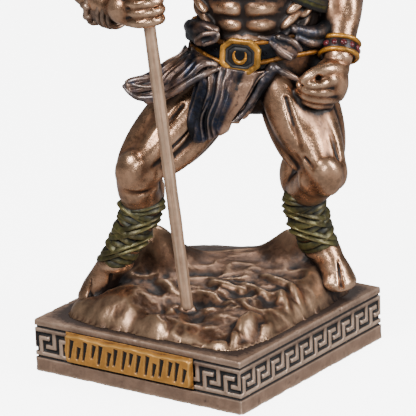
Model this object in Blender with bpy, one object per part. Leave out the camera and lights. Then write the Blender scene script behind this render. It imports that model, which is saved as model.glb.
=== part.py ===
"""A small bull-headed figure that stands astride a rock on a square plinth, with a tall axe.

The plinth, the figure with its rock, the axe and the name plate are four pieces. The origin is the
centre of the plinth's underside, with the plate on the side that faces -Y.
"""

import math

import bmesh
import bpy
from mathutils import Matrix, Vector

MM = 0.001
GAP = 0.0003

# The plinth and the channel cut round it. The channel stops short of each corner.
PLINTH_WIDTH = 0.044
PLINTH_HEIGHT = 0.0095
FOOT_HEIGHT = 0.0026
STRIP_HEIGHT = 0.0012
SEAM = 0.0003
SEAM_DEPTH = 0.0004
KEY_UNITS = 10
KEY_CHANNEL = 0.0005
KEY_DEPTH = 0.0004
KEY_MIDDLE = 0.0054

# The plate, and the strokes that stand in the place of its lettering.
PLATE_LENGTH = 0.0272
PLATE_HEIGHT = 0.0056
PLATE_THICKNESS = 0.0010
PLATE_CENTRE_X = -0.0012
PLATE_CORNER = 0.0007
STROKE_COUNT = 9
STROKE_DEPTH = 0.0003

# The figure stands along the plinth's diagonal, and its hips turn a little towards the axe.
STANCE_TURN = math.radians(35.9)
HIP_TURN = math.radians(-19)
BELT_UP = 47.2
BELT_HEIGHT = 4.3
BUCKLE_WIDTH = 7.1
BUCKLE_HEIGHT = 6.2

# The axe.
HAFT_RADIUS = 0.00107
HAFT_FORE = -12.3
HAFT_FOOT_SIDE = -3.7
HAFT_FOOT_UP = 3.9
HAFT_LEAN = -0.0886
HAFT_TOP_UP = 84.5
AXE_HEAD_UP = 77.0
AXE_REACH = 7.6
AXE_SPREAD = 5.8
AXE_EDGE_BULGE = 1.6
AXE_THICKNESS = 2.4

# The rock covers the plinth's top but for a narrow border.
ROCK_BORDER = 0.0024

# How finely the cast piece is made.
CAST_VOXEL = 0.00042
SMOOTHING_COUNT = 2
CAST_SHARE_KEPT = 0.036
ROUND_SIDES = 16


def clear_scene():
    for thing in list(bpy.data.objects):
        bpy.data.objects.remove(thing)


def material(name, colour, roughness, metallic):
    made = bpy.data.materials.new(name)
    made.use_nodes = True
    shader = made.node_tree.nodes["Principled BSDF"]
    shader.inputs["Base Color"].default_value = (*colour, 1)
    shader.inputs["Roughness"].default_value = roughness
    shader.inputs["Metallic"].default_value = metallic
    return made


def add_object(name, bm, finish=None):
    bmesh.ops.recalc_face_normals(bm, faces=bm.faces)
    mesh = bpy.data.meshes.new(name)
    bm.to_mesh(mesh)
    bm.free()
    made = bpy.data.objects.new(name, mesh)
    bpy.context.scene.collection.objects.link(made)
    if finish:
        mesh.materials.append(finish)
    return made


def cut(target, name, bm):
    """Cuts the shape in bm out of the target."""
    cutter = add_object(name, bm)
    cutter.hide_render = True
    cutter.display_type = "WIRE"
    modifier = target.modifiers.new(name, "BOOLEAN")
    modifier.operation = "DIFFERENCE"
    modifier.solver = "EXACT"
    modifier.object = cutter


def at(side, fore, up):
    """A place on the figure, in millimetres along its stance, towards its back and above the plinth."""
    flat = Matrix.Rotation(STANCE_TURN, 3, "Z") @ Vector((side, fore, 0))
    return Vector((flat.x * MM, flat.y * MM, up * MM + PLINTH_HEIGHT))


def direction(side, fore, up):
    return (at(side, fore, up) - at(0, 0, 0)).normalized()


# Shapes that the cast piece is put together from.


def tube(bm, stations, wide=(1, 0, 0), closed=False, sides=ROUND_SIDES):
    """Adds a tube through stations of side, fore, up, half width and half depth, in millimetres."""
    centres = [at(*station[:3]) for station in stations]
    rings = []
    for i, station in enumerate(stations):
        before = centres[i - 1] if closed or i else centres[0]
        after = centres[(i + 1) % len(centres)] if closed or i + 1 < len(centres) else centres[i]
        along = (after - before).normalized()
        across = direction(*wide)
        if abs(across.dot(along)) > 0.95:
            across = direction(0, 1, 0)
        across = (across - along * across.dot(along)).normalized()
        deep = along.cross(across)
        ring = []
        for k in range(sides):
            turn = 2 * math.pi * k / sides
            offset = across * math.cos(turn) * station[3] + deep * math.sin(turn) * station[-1]
            ring.append(bm.verts.new(centres[i] + offset * MM))
        rings.append(ring)
    pairs = list(zip(rings, rings[1:])) + ([(rings[-1], rings[0])] if closed else [])
    for lower, upper in pairs:
        for k in range(sides):
            m = (k + 1) % sides
            bm.faces.new((lower[k], lower[m], upper[m], upper[k]))
    if not closed:
        bm.faces.new(rings[0][::-1])
        bm.faces.new(rings[-1])


def ball(bm, side, fore, up, radii, tilt=(0, 0, 0)):
    """Adds an ellipsoid with radii along side, fore and up, tilted by degrees about those axes."""
    turned = Matrix.Rotation(STANCE_TURN, 4, "Z")
    for axis, angle in zip("XYZ", tilt):
        turned = turned @ Matrix.Rotation(math.radians(angle), 4, axis)
    sized = Matrix.Diagonal((radii[0] * MM, radii[1] * MM, radii[2] * MM, 1))
    place = Matrix.Translation(at(side, fore, up)) @ turned @ sized
    bmesh.ops.create_uvsphere(bm, u_segments=16, v_segments=10, radius=1, matrix=place)


def between(a, b, share):
    return tuple(p + (q - p) * share for p, q in zip(a, b))


def along_stations(stations, up):
    """The station at a given height on a list that runs upwards."""
    for low, high in zip(stations, stations[1:]):
        if up <= high[2]:
            return between(low, high, max(0, (up - low[2]) / (high[2] - low[2])))
    return stations[-1]


# The figure.

# Side, fore, up, half width and half depth of the trunk, from the crotch to the neck.
TRUNK = [
    (10.0, 0.5, 37.0, 8.0, 6.0),
    (10.0, 0.5, 41.5, 12.0, 8.0),
    (10.3, 0.3, 47.0, 12.2, 7.9),
    (10.8, 0.0, 51.5, 11.0, 7.3),
    (11.0, 0.3, 58.0, 12.2, 8.0),
    (11.0, 0.5, 64.0, 13.4, 8.8),
    (10.8, 1.0, 68.5, 12.0, 7.4),
    (10.4, 0.6, 72.0, 7.5, 6.6),
    (10.0, -0.6, 76.0, 5.0, 5.2),
]
RIGHT_LEG = [
    (3.6, 0.8, 41.0, 7.0),
    (-3.2, -2.4, 34.8, 6.8),
    (-8.6, -5.6, 30.0, 5.6),
    (-11.4, -7.0, 27.0, 4.9),
    (-11.2, -6.0, 23.4, 4.3),
    (-10.6, -4.6, 20.4, 3.8),
    (-12.5, -3.6, 15.0, 3.5),
    (-15.4, -2.2, 9.6, 2.9),
]
LEFT_LEG = [
    (16.0, 0.8, 41.0, 7.0),
    (17.9, -3.6, 35.0, 6.4),
    (19.6, -7.2, 29.8, 5.2),
    (20.4, -8.4, 26.4, 4.7),
    (19.0, -5.6, 23.4, 4.4),
    (17.2, -1.6, 20.6, 3.6),
    (18.4, 0.4, 14.0, 3.3),
    (20.8, 1.4, 8.4, 3.0),
]
RIGHT_ARM = [
    (0.2, 1.0, 68.2, 4.8),
    (-6.0, 1.4, 66.8, 4.4),
    (-12.5, 1.8, 65.2, 4.5),
    (-20.4, 1.8, 62.6, 3.5),
    (-19.4, -2.6, 60.8, 3.9),
    (-17.0, -6.4, 59.2, 3.4),
    (-12.8, -10.4, 58.2, 2.6),
]
LEFT_ARM = [
    (22.4, 1.0, 67.4, 4.8),
    (24.8, 1.4, 62.6, 4.5),
    (26.2, 1.2, 57.4, 3.7),
    (25.0, -1.4, 53.0, 4.0),
    (24.4, -3.8, 48.6, 3.2),
    (24.0, -5.4, 45.4, 2.8),
]


def skin(angle, up, proud=0.0):
    """A point on the trunk at an angle from its front, counted towards the figure's left."""
    side, fore, _, wide, deep = along_stations(TRUNK, up)
    turned = angle + HIP_TURN
    return (
        side + (wide + proud) * math.sin(turned),
        fore - (deep + proud) * math.cos(turned),
        up,
    )


def limb(bm, stations):
    tube(bm, stations)
    for station in stations:
        ball(bm, *station[:3], (station[3],) * 3)


def add_trunk(bm):
    tube(bm, TRUNK, sides=24)
    # Chest, shoulder blades and the two columns of the belly.
    for turn in (-0.55, 0.55):
        side, fore, up = skin(turn, 64.0, -2.6)
        ball(bm, side, fore, up, (5.6, 3.6, 4.2))
    for row in range(3):
        for turn in (-0.24, 0.24):
            side, fore, up = skin(turn, 51.2 + 3.2 * row, -1.2)
            ball(bm, side, fore, up, (2.7, 2.0, 1.9), (0, 0, -19))
    for row in range(3):
        side, fore, up = skin(0.75 + 0.12 * row, 51.0 + 2.4 * row, -0.4)
        ball(bm, side, fore, up, (2.8, 1.0, 0.8), (0, -35, 0))
    for side in (0.0, 22.4):
        ball(bm, side, 1.0, 68.0, (5.4, 5.2, 5.0))


def add_head(bm):
    """A plain bull's head with a mane, ears and a pair of horns."""
    ball(bm, 9.6, -3.0, 77.4, (4.7, 4.8, 4.4))
    tube(bm, [(9.3, -4.6, 77.2, 3.9, 3.8), (8.6, -8.2, 75.2, 2.9, 3.0), (8.2, -10.4, 74.0, 2.8, 2.4)])
    ball(bm, 8.2, -10.6, 73.9, (2.9, 1.6, 2.2))
    for hand in (-1, 1):
        root = (9.8 + hand * 3.2, -2.6, 80.4)
        tube(
            bm,
            [
                (*root, 1.7, 1.7),
                (9.8 + hand * 6.4, -3.0, 80.9, 1.5, 1.5),
                (9.8 + hand * 8.6, -3.9, 82.6, 1.1, 1.1),
                (9.8 + hand * 9.0, -4.6, 84.2, 0.75, 0.75),
                (9.8 + hand * 8.5, -5.0, 85.3, 0.45, 0.45),
            ],
            wide=(0, 1, 0),
        )
        tube(
            bm,
            [
                (9.8 + hand * 3.8, -1.6, 78.4, 1.1, 0.8),
                (9.8 + hand * 6.6, -1.4, 77.5, 1.3, 0.6),
                (9.8 + hand * 8.4, -1.2, 76.6, 0.5, 0.4),
            ],
            wide=(0, 0, 1),
        )
    for lock in range(9):
        turn = math.radians(-110 + 220 * lock / 8)
        side = 10.2 + 5.6 * math.sin(turn)
        fore = 0.8 + 5.4 * math.cos(turn)
        tube(
            bm,
            [
                (side * 0.9 + 1.0, fore * 0.8 - 0.4, 78.2, 1.3, 1.3),
                (side, fore, 74.6, 1.5, 1.5),
                (side * 1.05 - 0.5, fore + 0.5, 70.8, 0.7, 0.7),
            ],
        )


def add_hands(bm):
    # The hand that holds the haft: four fingers round it, and the thumb below.
    grip_side = HAFT_FOOT_SIDE + HAFT_LEAN * (58.0 - HAFT_FOOT_UP)
    ball(bm, grip_side - 2.2, HAFT_FORE + 0.8, 58.2, (2.7, 2.5, 3.4))
    for finger in range(4):
        up = 55.8 + 1.65 * finger
        near = HAFT_FOOT_SIDE + HAFT_LEAN * (up - HAFT_FOOT_UP)
        tube(
            bm,
            [
                (near - 3.0, HAFT_FORE - 0.8, up, 0.95, 0.95),
                (near - 0.2, HAFT_FORE - 1.9, up - 0.1, 0.95, 0.95),
                (near + 1.9, HAFT_FORE - 0.6, up - 0.2, 0.95, 0.95),
                (near + 1.5, HAFT_FORE + 1.4, up - 0.2, 0.8, 0.8),
            ],
            wide=(0, 0, 1),
            sides=10,
        )
    # The hand that hangs at the hip, closed on itself.
    ball(bm, 21.8, -6.8, 42.6, (3.5, 3.0, 3.0), (0, 25, 0))
    for finger in range(4):
        step = 1.45 * finger
        tube(
            bm,
            [
                (23.6 - 0.45 * step, -7.6, 42.2 - step * 0.75, 0.95, 0.95),
                (20.6 - 0.45 * step, -9.6, 41.9 - step * 0.8, 0.95, 0.95),
                (18.0 + 0.05 * step, -8.6, 42.6 - step * 0.95, 0.9, 0.9),
            ],
            wide=(0, 0, 1),
            sides=10,
        )
    tube(bm, [(22.0, -8.8, 44.2, 1.1, 1.1), (19.4, -10.0, 43.8, 1.0, 1.0), (17.4, -9.6, 42.6, 0.8, 0.8)])


def add_hoof(bm, ankle, toe):
    """A cloven hoof: two halves side by side, from the ankle to the ground."""
    tube(bm, [(*ankle, 3.0, 3.0), (*between(ankle, toe, 0.5), 3.1, 3.0)])
    for hand in (-1, 1):
        shift = Vector((1.35 * hand, 0.25 * hand, 0))
        top = Vector(between(ankle, toe, 0.25)) + shift * 0.8
        low = Vector(toe) + shift
        tube(bm, [(*top, 2.3, 2.6), (*(top + low) / 2, 2.1, 2.8), (*low, 1.9, 2.7)], sides=12)


def add_wraps(bm, leg, low, high, turns, rise):
    """Straps wound round a shin, each turn a flat raised band."""
    shin = leg[::-1]
    steps = 14 * turns
    points = []
    for step in range(steps + 1):
        share = step / steps
        up = low + (high - low) * share
        side, fore, _, radius = along_stations(shin, up)
        turn = 2 * math.pi * turns * share
        lift = rise * math.cos(turn)
        reach = radius + 0.25
        points.append((side + reach * math.cos(turn), fore - reach * math.sin(turn), up + lift, 0.8, 0.6))
    tube(bm, points, wide=(0, 0, 1), sides=8)


def add_belt(bm):
    belt = []
    for step in range(36):
        angle = 2 * math.pi * step / 36
        tilt = 0.7 * math.cos(angle) - 0.5 * math.sin(angle)
        belt.append((*skin(angle, BELT_UP + tilt, 0.1), BELT_HEIGHT / 2, 0.9))
    tube(bm, belt, wide=(0, 0, 1), closed=True, sides=10)
    for edge in (-1, 1):
        trim = [(p[0], p[1], p[2] + edge * BELT_HEIGHT * 0.43, 0.45, 1.15) for p in belt]
        tube(bm, trim, wide=(0, 0, 1), closed=True, sides=8)


def add_buckle(bm):
    """An eight-sided plate with a raised rim and a small crescent of horns."""
    side, fore, up = skin(0, BELT_UP + 0.7, 0.9)
    facing = Vector((math.sin(HIP_TURN), -math.cos(HIP_TURN), 0))
    sideways = Vector((math.cos(HIP_TURN), math.sin(HIP_TURN), 0))
    corner = 0.3
    outline = []
    for x, z in ((1, corner), (corner, 1), (-corner, 1), (-1, corner)):
        outline.append((x, z))
    outline += [(-x, -z) for x, z in outline]
    middle = Vector((side, fore, up)) + facing * 0.2
    plate = []
    for x, z in outline:
        plate.append(middle + sideways * x * BUCKLE_WIDTH * 0.45 + Vector((0, 0, z * BUCKLE_HEIGHT * 0.45)))
    rim = [(*point + facing * 0.3, 0.55, 0.55) for point in plate]
    tube(bm, rim, wide=(0, 0, 1), closed=True, sides=8)
    near = [bm.verts.new(at(*(point + facing * 0.25))) for point in plate]
    far = [bm.verts.new(at(*(point - facing * 2.0))) for point in plate]
    bm.faces.new(near)
    bm.faces.new(far[::-1])
    for k in range(len(plate)):
        m = (k + 1) % len(plate)
        bm.faces.new((near[k], far[k], far[m], near[m]))
    horns = []
    for step in range(9):
        turn = math.radians(200 + 140 * step / 8)
        x = 1.5 * math.cos(turn)
        z = 1.5 * math.sin(turn) + 0.7
        horns.append((*(middle + sideways * x + Vector((0, 0, z)) + facing * 0.4), 0.35, 0.35))
    tube(bm, horns, wide=(0, 0, 1), sides=6)


def add_baldric(bm):
    """The strap from the right shoulder down to the left ribs, and on round the back."""
    strap = []
    for step in range(30):
        angle = 2 * math.pi * step / 30
        up = 62.4 - 8.6 * math.sin(angle + HIP_TURN + 0.15)
        strap.append((*skin(angle, up, 0.2), 1.5, 0.5))
    tube(bm, strap, wide=(0, 0, 1), closed=True, sides=8)


def add_cuffs(bm):
    for arm in (LEFT_ARM, RIGHT_ARM):
        for share, proud in ((0.20, 0.8), (0.44, 0.55), (0.68, 0.8)):
            start = between(arm[-2], arm[-1], share)
            end = between(arm[-2], arm[-1], share + 0.16)
            tube(bm, [(*start[:3], start[3] + proud), (*end[:3], end[3] + proud)])
    # The ornate end of the bracer.
    tube(bm, [(-18.6, -4.0, 60.2, 4.4), (-17.4, -5.8, 59.5, 4.2)])


def add_loincloth(bm):
    """The drape in front with its folds, the corner that flies out, and the cloth behind."""
    drape = [
        (6.2, -7.6, 46.0, 6.2, 1.6),
        (4.4, -8.2, 41.5, 5.9, 1.7),
        (1.4, -8.2, 37.0, 5.0, 1.8),
        (-1.6, -7.8, 33.6, 4.2, 1.7),
        (-2.8, -7.4, 30.6, 3.2, 1.3),
    ]
    tube(bm, drape, sides=20)
    for fold in range(5):
        start = 10.6 - 2.4 * fold
        finish = 1.4 - 1.9 * fold
        ridge = []
        for share in (0, 0.35, 0.7, 1):
            up = 45.6 - (13.2 - 0.5 * fold) * share
            fore = -9.2 - 0.9 * math.sin(math.pi * share) + 0.35 * fold * share
            ridge.append((start + (finish - start) * share, fore, up, 0.62, 0.75))
        tube(bm, ridge, sides=8)
    corner = [
        (0.6, -1.0, 45.6, 3.2, 2.2),
        (-4.6, -3.2, 44.2, 3.0, 1.5),
        (-9.2, -4.6, 42.4, 2.3, 1.2),
        (-12.6, -5.0, 41.2, 1.5, 1.2),
    ]
    tube(bm, corner, wide=(0, 0, 1))
    tube(bm, [(4.6, -7.4, 44.0, 0.8), (-2.0, -6.8, 40.4, 0.8), (-6.8, -6.2, 39.0, 0.8), (-10.6, -5.6, 39.6, 0.7)])
    behind = [
        (10.6, 6.6, 46.0, 9.0, 2.2),
        (10.0, 7.4, 40.0, 8.0, 2.2),
        (8.4, 6.2, 34.6, 5.6, 1.8),
        (7.2, 4.4, 32.0, 3.6, 1.2),
    ]
    tube(bm, behind)
    for fold in range(4):
        side = 4.2 + 4.0 * fold
        end = side * 0.6 + 2.2
        tube(bm, [(side, 8.2, 45.0, 0.8), (side, 9.2, 39.5, 0.9), (end, 8.0, 34.0, 0.8), (end, 5.6, 31.0, 0.5)])
    # The rolled top of the cloth, tucked over the belt at both hips.
    ball(bm, 0.0, -2.6, 50.0, (3.1, 3.6, 2.7), (0, 20, 0))
    tube(bm, [(0.6, -5.0, 50.6, 1.5, 1.2), (2.6, -7.0, 48.8, 1.3, 0.9), (1.6, -7.4, 47.4, 0.5, 0.5)])
    ball(bm, 16.6, -5.6, 48.2, (2.6, 1.8, 2.0))
    ball(bm, 19.8, -3.6, 49.2, (3.0, 2.2, 1.8))


# Side, fore, height and spread of the rises on the rock.
ROCK_RISES = [
    (-8.8, 6.0, 6.0, 4.6),
    (15.6, 8.6, 3.6, 4.4),
    (20.5, -1.0, 0.8, 5.0),
    (-14.0, -7.0, 1.2, 4.0),
]


def rock_up(side, fore):
    """The height of the rock's surface above the plinth."""
    slope = 3.9 + 0.17 * (fore + 12.3)
    if fore > 8:
        slope -= 0.42 * (fore - 8)
    up = slope
    for rise_side, rise_fore, height, spread in ROCK_RISES:
        apart = math.hypot(side - rise_side, fore - rise_fore) / spread
        up += height * math.exp(-apart * apart)
    up -= 3.4 * math.exp(-(((side + 20.5) / 4.5) ** 2 + ((fore - 1.5) / 6.0) ** 2))
    up += 0.3 * math.sin(0.9 * side + 0.35 * fore) * math.cos(0.31 * fore - 0.43 * side)
    return max(0.9, up)


def add_rock(bm):
    turns = 72
    rings = 18
    floor = GAP / MM
    rock_reach = (PLINTH_WIDTH / 2 - ROCK_BORDER) / MM
    turned = Matrix.Rotation(-STANCE_TURN, 3, "Z")
    grid = []
    for ring in range(1, rings + 1):
        reach = ring / rings
        row = []
        for k in range(turns):
            angle = 2 * math.pi * k / turns
            square = (abs(math.cos(angle)) ** 7 + abs(math.sin(angle)) ** 7) ** (-1 / 7)
            edge = rock_reach * square * (1 + 0.022 * math.sin(11 * angle) + 0.014 * math.sin(23 * angle))
            edge = min(edge, rock_reach * 1.26)
            flat = turned @ Vector((edge * reach * math.cos(angle), edge * reach * math.sin(angle), 0))
            drop = max(0.0, (reach - 0.84) / 0.16)
            lobe = abs(math.sin(6.5 * angle + 0.9 * math.sin(3 * angle)))
            swell = 1.0 * (lobe - 0.45) * max(0.0, 1 - abs(reach - 0.78) / 0.3)
            up = (rock_up(flat.x, flat.y) + swell) * (1 - drop**2 * (1.15 - 0.35 * lobe))
            row.append(bm.verts.new(at(flat.x, flat.y, max(up, floor + 0.15))))
        grid.append(row)
    middle = bm.verts.new(at(0, 0, rock_up(0, 0)))
    base = []
    for vertex in grid[-1]:
        base.append(bm.verts.new((vertex.co.x, vertex.co.y, PLINTH_HEIGHT + GAP)))
    for k in range(turns):
        m = (k + 1) % turns
        bm.faces.new((middle, grid[0][k], grid[0][m]))
        for inner, outer in zip(grid, grid[1:] + [base]):
            bm.faces.new((inner[k], outer[k], outer[m], inner[m]))
    bm.faces.new(base[::-1])


def haft_place(up):
    return at(HAFT_FOOT_SIDE + HAFT_LEAN * (up - HAFT_FOOT_UP), HAFT_FORE, up)


def rod(bm, low, high, radius, sides=16):
    """A straight round rod from one point to another."""
    along = high - low
    turned = along.to_track_quat("Z", "Y").to_matrix().to_4x4()
    place = Matrix.Translation((low + high) / 2) @ turned
    bmesh.ops.create_cone(
        bm, cap_ends=True, segments=sides, radius1=radius, radius2=radius, depth=along.length, matrix=place
    )


def make_figure(finish):
    bm = bmesh.new()
    add_trunk(bm)
    add_head(bm)
    for leg in (RIGHT_LEG, LEFT_LEG):
        limb(bm, leg)
    for arm in (RIGHT_ARM, LEFT_ARM):
        limb(bm, arm)
    # Calves, kneecaps and the fronts of the thighs.
    ball(bm, 15.8, 0.4, 25.6, (3.4, 3.6, 4.6))
    ball(bm, -8.6, -3.0, 25.0, (3.2, 3.6, 4.2))
    ball(bm, -13.2, -9.6, 27.8, (2.2, 2.2, 2.8))
    ball(bm, 22.0, -11.0, 26.0, (2.6, 2.2, 3.0))
    ball(bm, 19.0, -7.8, 33.0, (3.6, 4.0, 6.0), (20, 0, 0))
    ball(bm, -6.6, -7.2, 32.0, (3.6, 3.4, 5.0), (20, -40, 0))
    add_hands(bm)
    add_hoof(bm, (-15.4, -2.2, 9.6), (-20.0, 1.2, 1.6))
    add_hoof(bm, (20.8, 1.4, 8.4), (23.2, -0.6, 3.2))
    add_wraps(bm, RIGHT_LEG, 9.0, 19.6, 6, -0.8)
    add_wraps(bm, LEFT_LEG, 8.6, 20.0, 6, 1.0)
    add_belt(bm)
    add_buckle(bm)
    add_baldric(bm)
    add_cuffs(bm)
    add_loincloth(bm)
    add_rock(bm)
    figure = add_object("minotaur", bm, finish)

    cast = figure.modifiers.new("Cast as one", "REMESH")
    cast.mode = "VOXEL"
    cast.voxel_size = CAST_VOXEL
    soften = figure.modifiers.new("Soften", "SMOOTH")
    soften.iterations = SMOOTHING_COUNT
    facets = figure.modifiers.new("Facets", "DECIMATE")
    facets.ratio = CAST_SHARE_KEPT
    facets.use_collapse_triangulate = True

    bore = bmesh.new()
    rod(bore, haft_place(HAFT_FOOT_UP - 0.3), haft_place(HAFT_TOP_UP), HAFT_RADIUS + GAP)
    cut(figure, "haft_clearance", bore)
    under = bmesh.new()
    depth = 0.004
    place = Matrix.Translation((0, 0, PLINTH_HEIGHT + GAP - depth / 2))
    sized = Matrix.Diagonal((PLINTH_WIDTH * 1.2, PLINTH_WIDTH * 1.2, depth, 1))
    bmesh.ops.create_cube(under, size=1, matrix=place @ sized)
    cut(figure, "flat_underside", under)
    return figure


def make_axe(finish):
    """A plain double-bitted axe: a round haft and a flat head with two curved edges."""
    bm = bmesh.new()
    rod(bm, haft_place(HAFT_FOOT_UP), haft_place(HAFT_TOP_UP), HAFT_RADIUS, sides=14)
    axe = add_object("battle_axe", bm, finish)

    head = bmesh.new()
    middle = haft_place(AXE_HEAD_UP)
    rings = []
    for step in range(-12, 13):
        share = abs(step) / 12
        reach = AXE_REACH * min(1, share / 0.8)
        spread = 2.0 + (AXE_SPREAD - 2.0) * (reach / AXE_REACH) ** 1.6
        if share > 0.8:
            turn = math.radians(80 * (share - 0.8) / 0.2)
            reach += AXE_EDGE_BULGE * math.sin(turn)
            spread = AXE_SPREAD * math.cos(turn)
        thick = AXE_THICKNESS / 2 * (1 - 0.8 * share**1.2)
        rings.append((math.copysign(reach, step), spread, thick))
    lean = math.atan(HAFT_LEAN)
    sections = []
    for reach, spread, thick in rings:
        section = []
        for across, up in ((0, spread), (-thick, 0), (0, -spread), (thick, 0)):
            side = reach * math.cos(lean) + up * math.sin(lean)
            rise = -reach * math.sin(lean) + up * math.cos(lean)
            section.append(head.verts.new(middle + at(side, across, rise) - at(0, 0, 0)))
        sections.append(section)
    for one, two in zip(sections, sections[1:]):
        for k in range(4):
            m = (k + 1) % 4
            head.faces.new((one[k], one[m], two[m], two[k]))
    head.faces.new(sections[0][::-1])
    head.faces.new(sections[-1])
    blades = add_object("axe_blades", head)
    socket = bmesh.new()
    rod(socket, haft_place(AXE_HEAD_UP - 3.2), haft_place(AXE_HEAD_UP + 3.2), HAFT_RADIUS * 1.7, sides=14)
    eye = add_object("axe_eye", socket)
    for helper in (blades, eye):
        helper.hide_render = True
        helper.display_type = "WIRE"
        join = axe.modifiers.new(helper.name, "BOOLEAN")
        join.operation = "UNION"
        join.solver = "MANIFOLD"
        join.object = helper
    return axe


# The plinth and its plate.


def box(bm, low, high):
    size = Vector(high) - Vector(low)
    middle = (Vector(high) + Vector(low)) / 2
    place = Matrix.Translation(middle) @ Matrix.Diagonal((*size, 1))
    bmesh.ops.create_cube(bm, size=1, matrix=place)


def square_ring(bm, inner, outer, low, high):
    """Adds a square ring of rectangular section round the middle."""
    corners = ((-1, -1), (1, -1), (1, 1), (-1, 1))
    section = ((inner, low), (outer, low), (outer, high), (inner, high))
    loops = [[bm.verts.new((x * reach, y * reach, z)) for x, y in corners] for reach, z in section]
    for one, two in zip(loops, loops[1:] + loops[:1]):
        for k in range(4):
            m = (k + 1) % 4
            bm.faces.new((one[k], one[m], two[m], two[k]))


def key_units(side):
    """The units on one side. The plate covers the middle of the front, and none are cut there."""
    if side:
        return [range(KEY_UNITS)]
    return [range(2), range(KEY_UNITS - 2, KEY_UNITS)]


def key_line(units):
    """The middle line of the channel: up, across, down, back, down and on, in each unit."""
    inset = KEY_DEPTH + GAP + KEY_CHANNEL / 2
    pitch = (PLINTH_WIDTH - 2 * inset) / (KEY_UNITS - 1 / 3)
    cell = pitch / 3
    steps = ((0, 0), (0, 2), (2, 2), (2, 1), (1, 1), (1, 0))
    points = []
    for unit in units:
        start = -PLINTH_WIDTH / 2 + inset + pitch * unit
        points += [(start + cell * x, KEY_MIDDLE + cell * (y - 1)) for x, y in steps]
    points.append((start + cell * 2, KEY_MIDDLE - cell))
    return points


def add_channel(bm, line, turn):
    """A square-cut channel along a line of level and upright runs, on the side that the turn gives."""
    half = KEY_CHANNEL / 2
    left = []
    right = []
    for i, (x, z) in enumerate(line):
        before = line[i - 1] if i else (2 * x - line[1][0], 2 * z - line[1][1])
        after = line[i + 1] if i + 1 < len(line) else (2 * x - before[0], 2 * z - before[1])
        one = Vector((x - before[0], z - before[1])).normalized()
        two = Vector((after[0] - x, after[1] - z)).normalized()
        normal = Vector((-one.y, one.x)) + Vector((-two.y, two.x))
        if normal.length > 1.9:
            normal = normal / 2
        left.append((x + normal.x * half, z + normal.y * half))
        right.append((x - normal.x * half, z - normal.y * half))
    turned = Matrix.Rotation(turn, 3, "Z")
    face = -PLINTH_WIDTH / 2
    rows = {}
    for name, side in (("left", left), ("right", right)):
        for depth, y in (("out", face - 0.001), ("in", face + KEY_DEPTH)):
            rows[name, depth] = [bm.verts.new(turned @ Vector((x, y, z))) for x, z in side]
    loops = [rows["left", "out"], rows["right", "out"], rows["right", "in"], rows["left", "in"]]
    for one, two in zip(loops, loops[1:] + loops[:1]):
        for k in range(len(line) - 1):
            bm.faces.new((one[k], one[k + 1], two[k + 1], two[k]))
    bm.faces.new([row[0] for row in loops])
    bm.faces.new([row[-1] for row in loops[::-1]])


def make_plinth(finish):
    half = PLINTH_WIDTH / 2
    bm = bmesh.new()
    box(bm, (-half, -half, 0), (half, half, PLINTH_HEIGHT))
    plinth = add_object("plinth", bm, finish)
    for name, up in (("lower_seam", FOOT_HEIGHT), ("upper_seam", PLINTH_HEIGHT - STRIP_HEIGHT)):
        ring = bmesh.new()
        square_ring(ring, half - SEAM_DEPTH, half + 0.001, up - SEAM / 2, up + SEAM / 2)
        cut(plinth, name, ring)
    for side in range(4):
        for part, units in enumerate(key_units(side)):
            channel = bmesh.new()
            add_channel(channel, key_line(units), side * math.pi / 2)
            cut(plinth, f"key_{side}_{part}", channel)
    return plinth


def make_plate(finish):
    """A plate with rounded corners and a row of slanting strokes, long and short in turn."""
    bm = bmesh.new()
    back = -PLINTH_WIDTH / 2 - GAP
    front = back - PLATE_THICKNESS
    low = FOOT_HEIGHT + GAP
    box(
        bm,
        (PLATE_CENTRE_X - PLATE_LENGTH / 2, front, low),
        (PLATE_CENTRE_X + PLATE_LENGTH / 2, back, low + PLATE_HEIGHT),
    )
    uprights = [e for e in bm.edges if abs(e.verts[0].co.y - e.verts[1].co.y) > PLATE_THICKNESS / 2]
    bmesh.ops.bevel(bm, geom=uprights, offset=PLATE_CORNER, segments=3, affect="EDGES", profile=0.5)
    plate = add_object("name_plate", bm, finish)
    strokes = bmesh.new()
    spacing = PLATE_LENGTH / (STROKE_COUNT + 0.6)
    for k in range(STROKE_COUNT):
        length = PLATE_HEIGHT * (0.62 if k % 2 else 0.42)
        lean = math.radians(14 if k % 2 else -24)
        x = PLATE_CENTRE_X + spacing * (k - (STROKE_COUNT - 1) / 2)
        start = len(strokes.verts)
        box(strokes, (-0.00027, front - 0.001, -length / 2), (0.00027, front + STROKE_DEPTH, length / 2))
        strokes.verts.ensure_lookup_table()
        place = Matrix.Translation((x, 0, low + PLATE_HEIGHT / 2)) @ Matrix.Rotation(lean, 4, "Y")
        bmesh.ops.transform(strokes, matrix=place, verts=strokes.verts[start:])
    cut(plate, "strokes", strokes)
    return plate


clear_scene()
make_plinth(material("plinth_bronze", (0.30, 0.21, 0.15), 0.5, 0.6))
make_plate(material("gold_paint", (0.58, 0.33, 0.07), 0.45, 0.5))
make_axe(material("axe_bronze", (0.40, 0.28, 0.18), 0.45, 0.6))
make_figure(material("cast_bronze", (0.32, 0.19, 0.12), 0.38, 0.8))
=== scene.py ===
"""A bull-headed warrior in cold-cast bronze, on a square plinth with a Greek key cut round it."""

import math

import bmesh
import bpy
import numpy as np
from mathutils import Matrix, Vector


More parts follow.
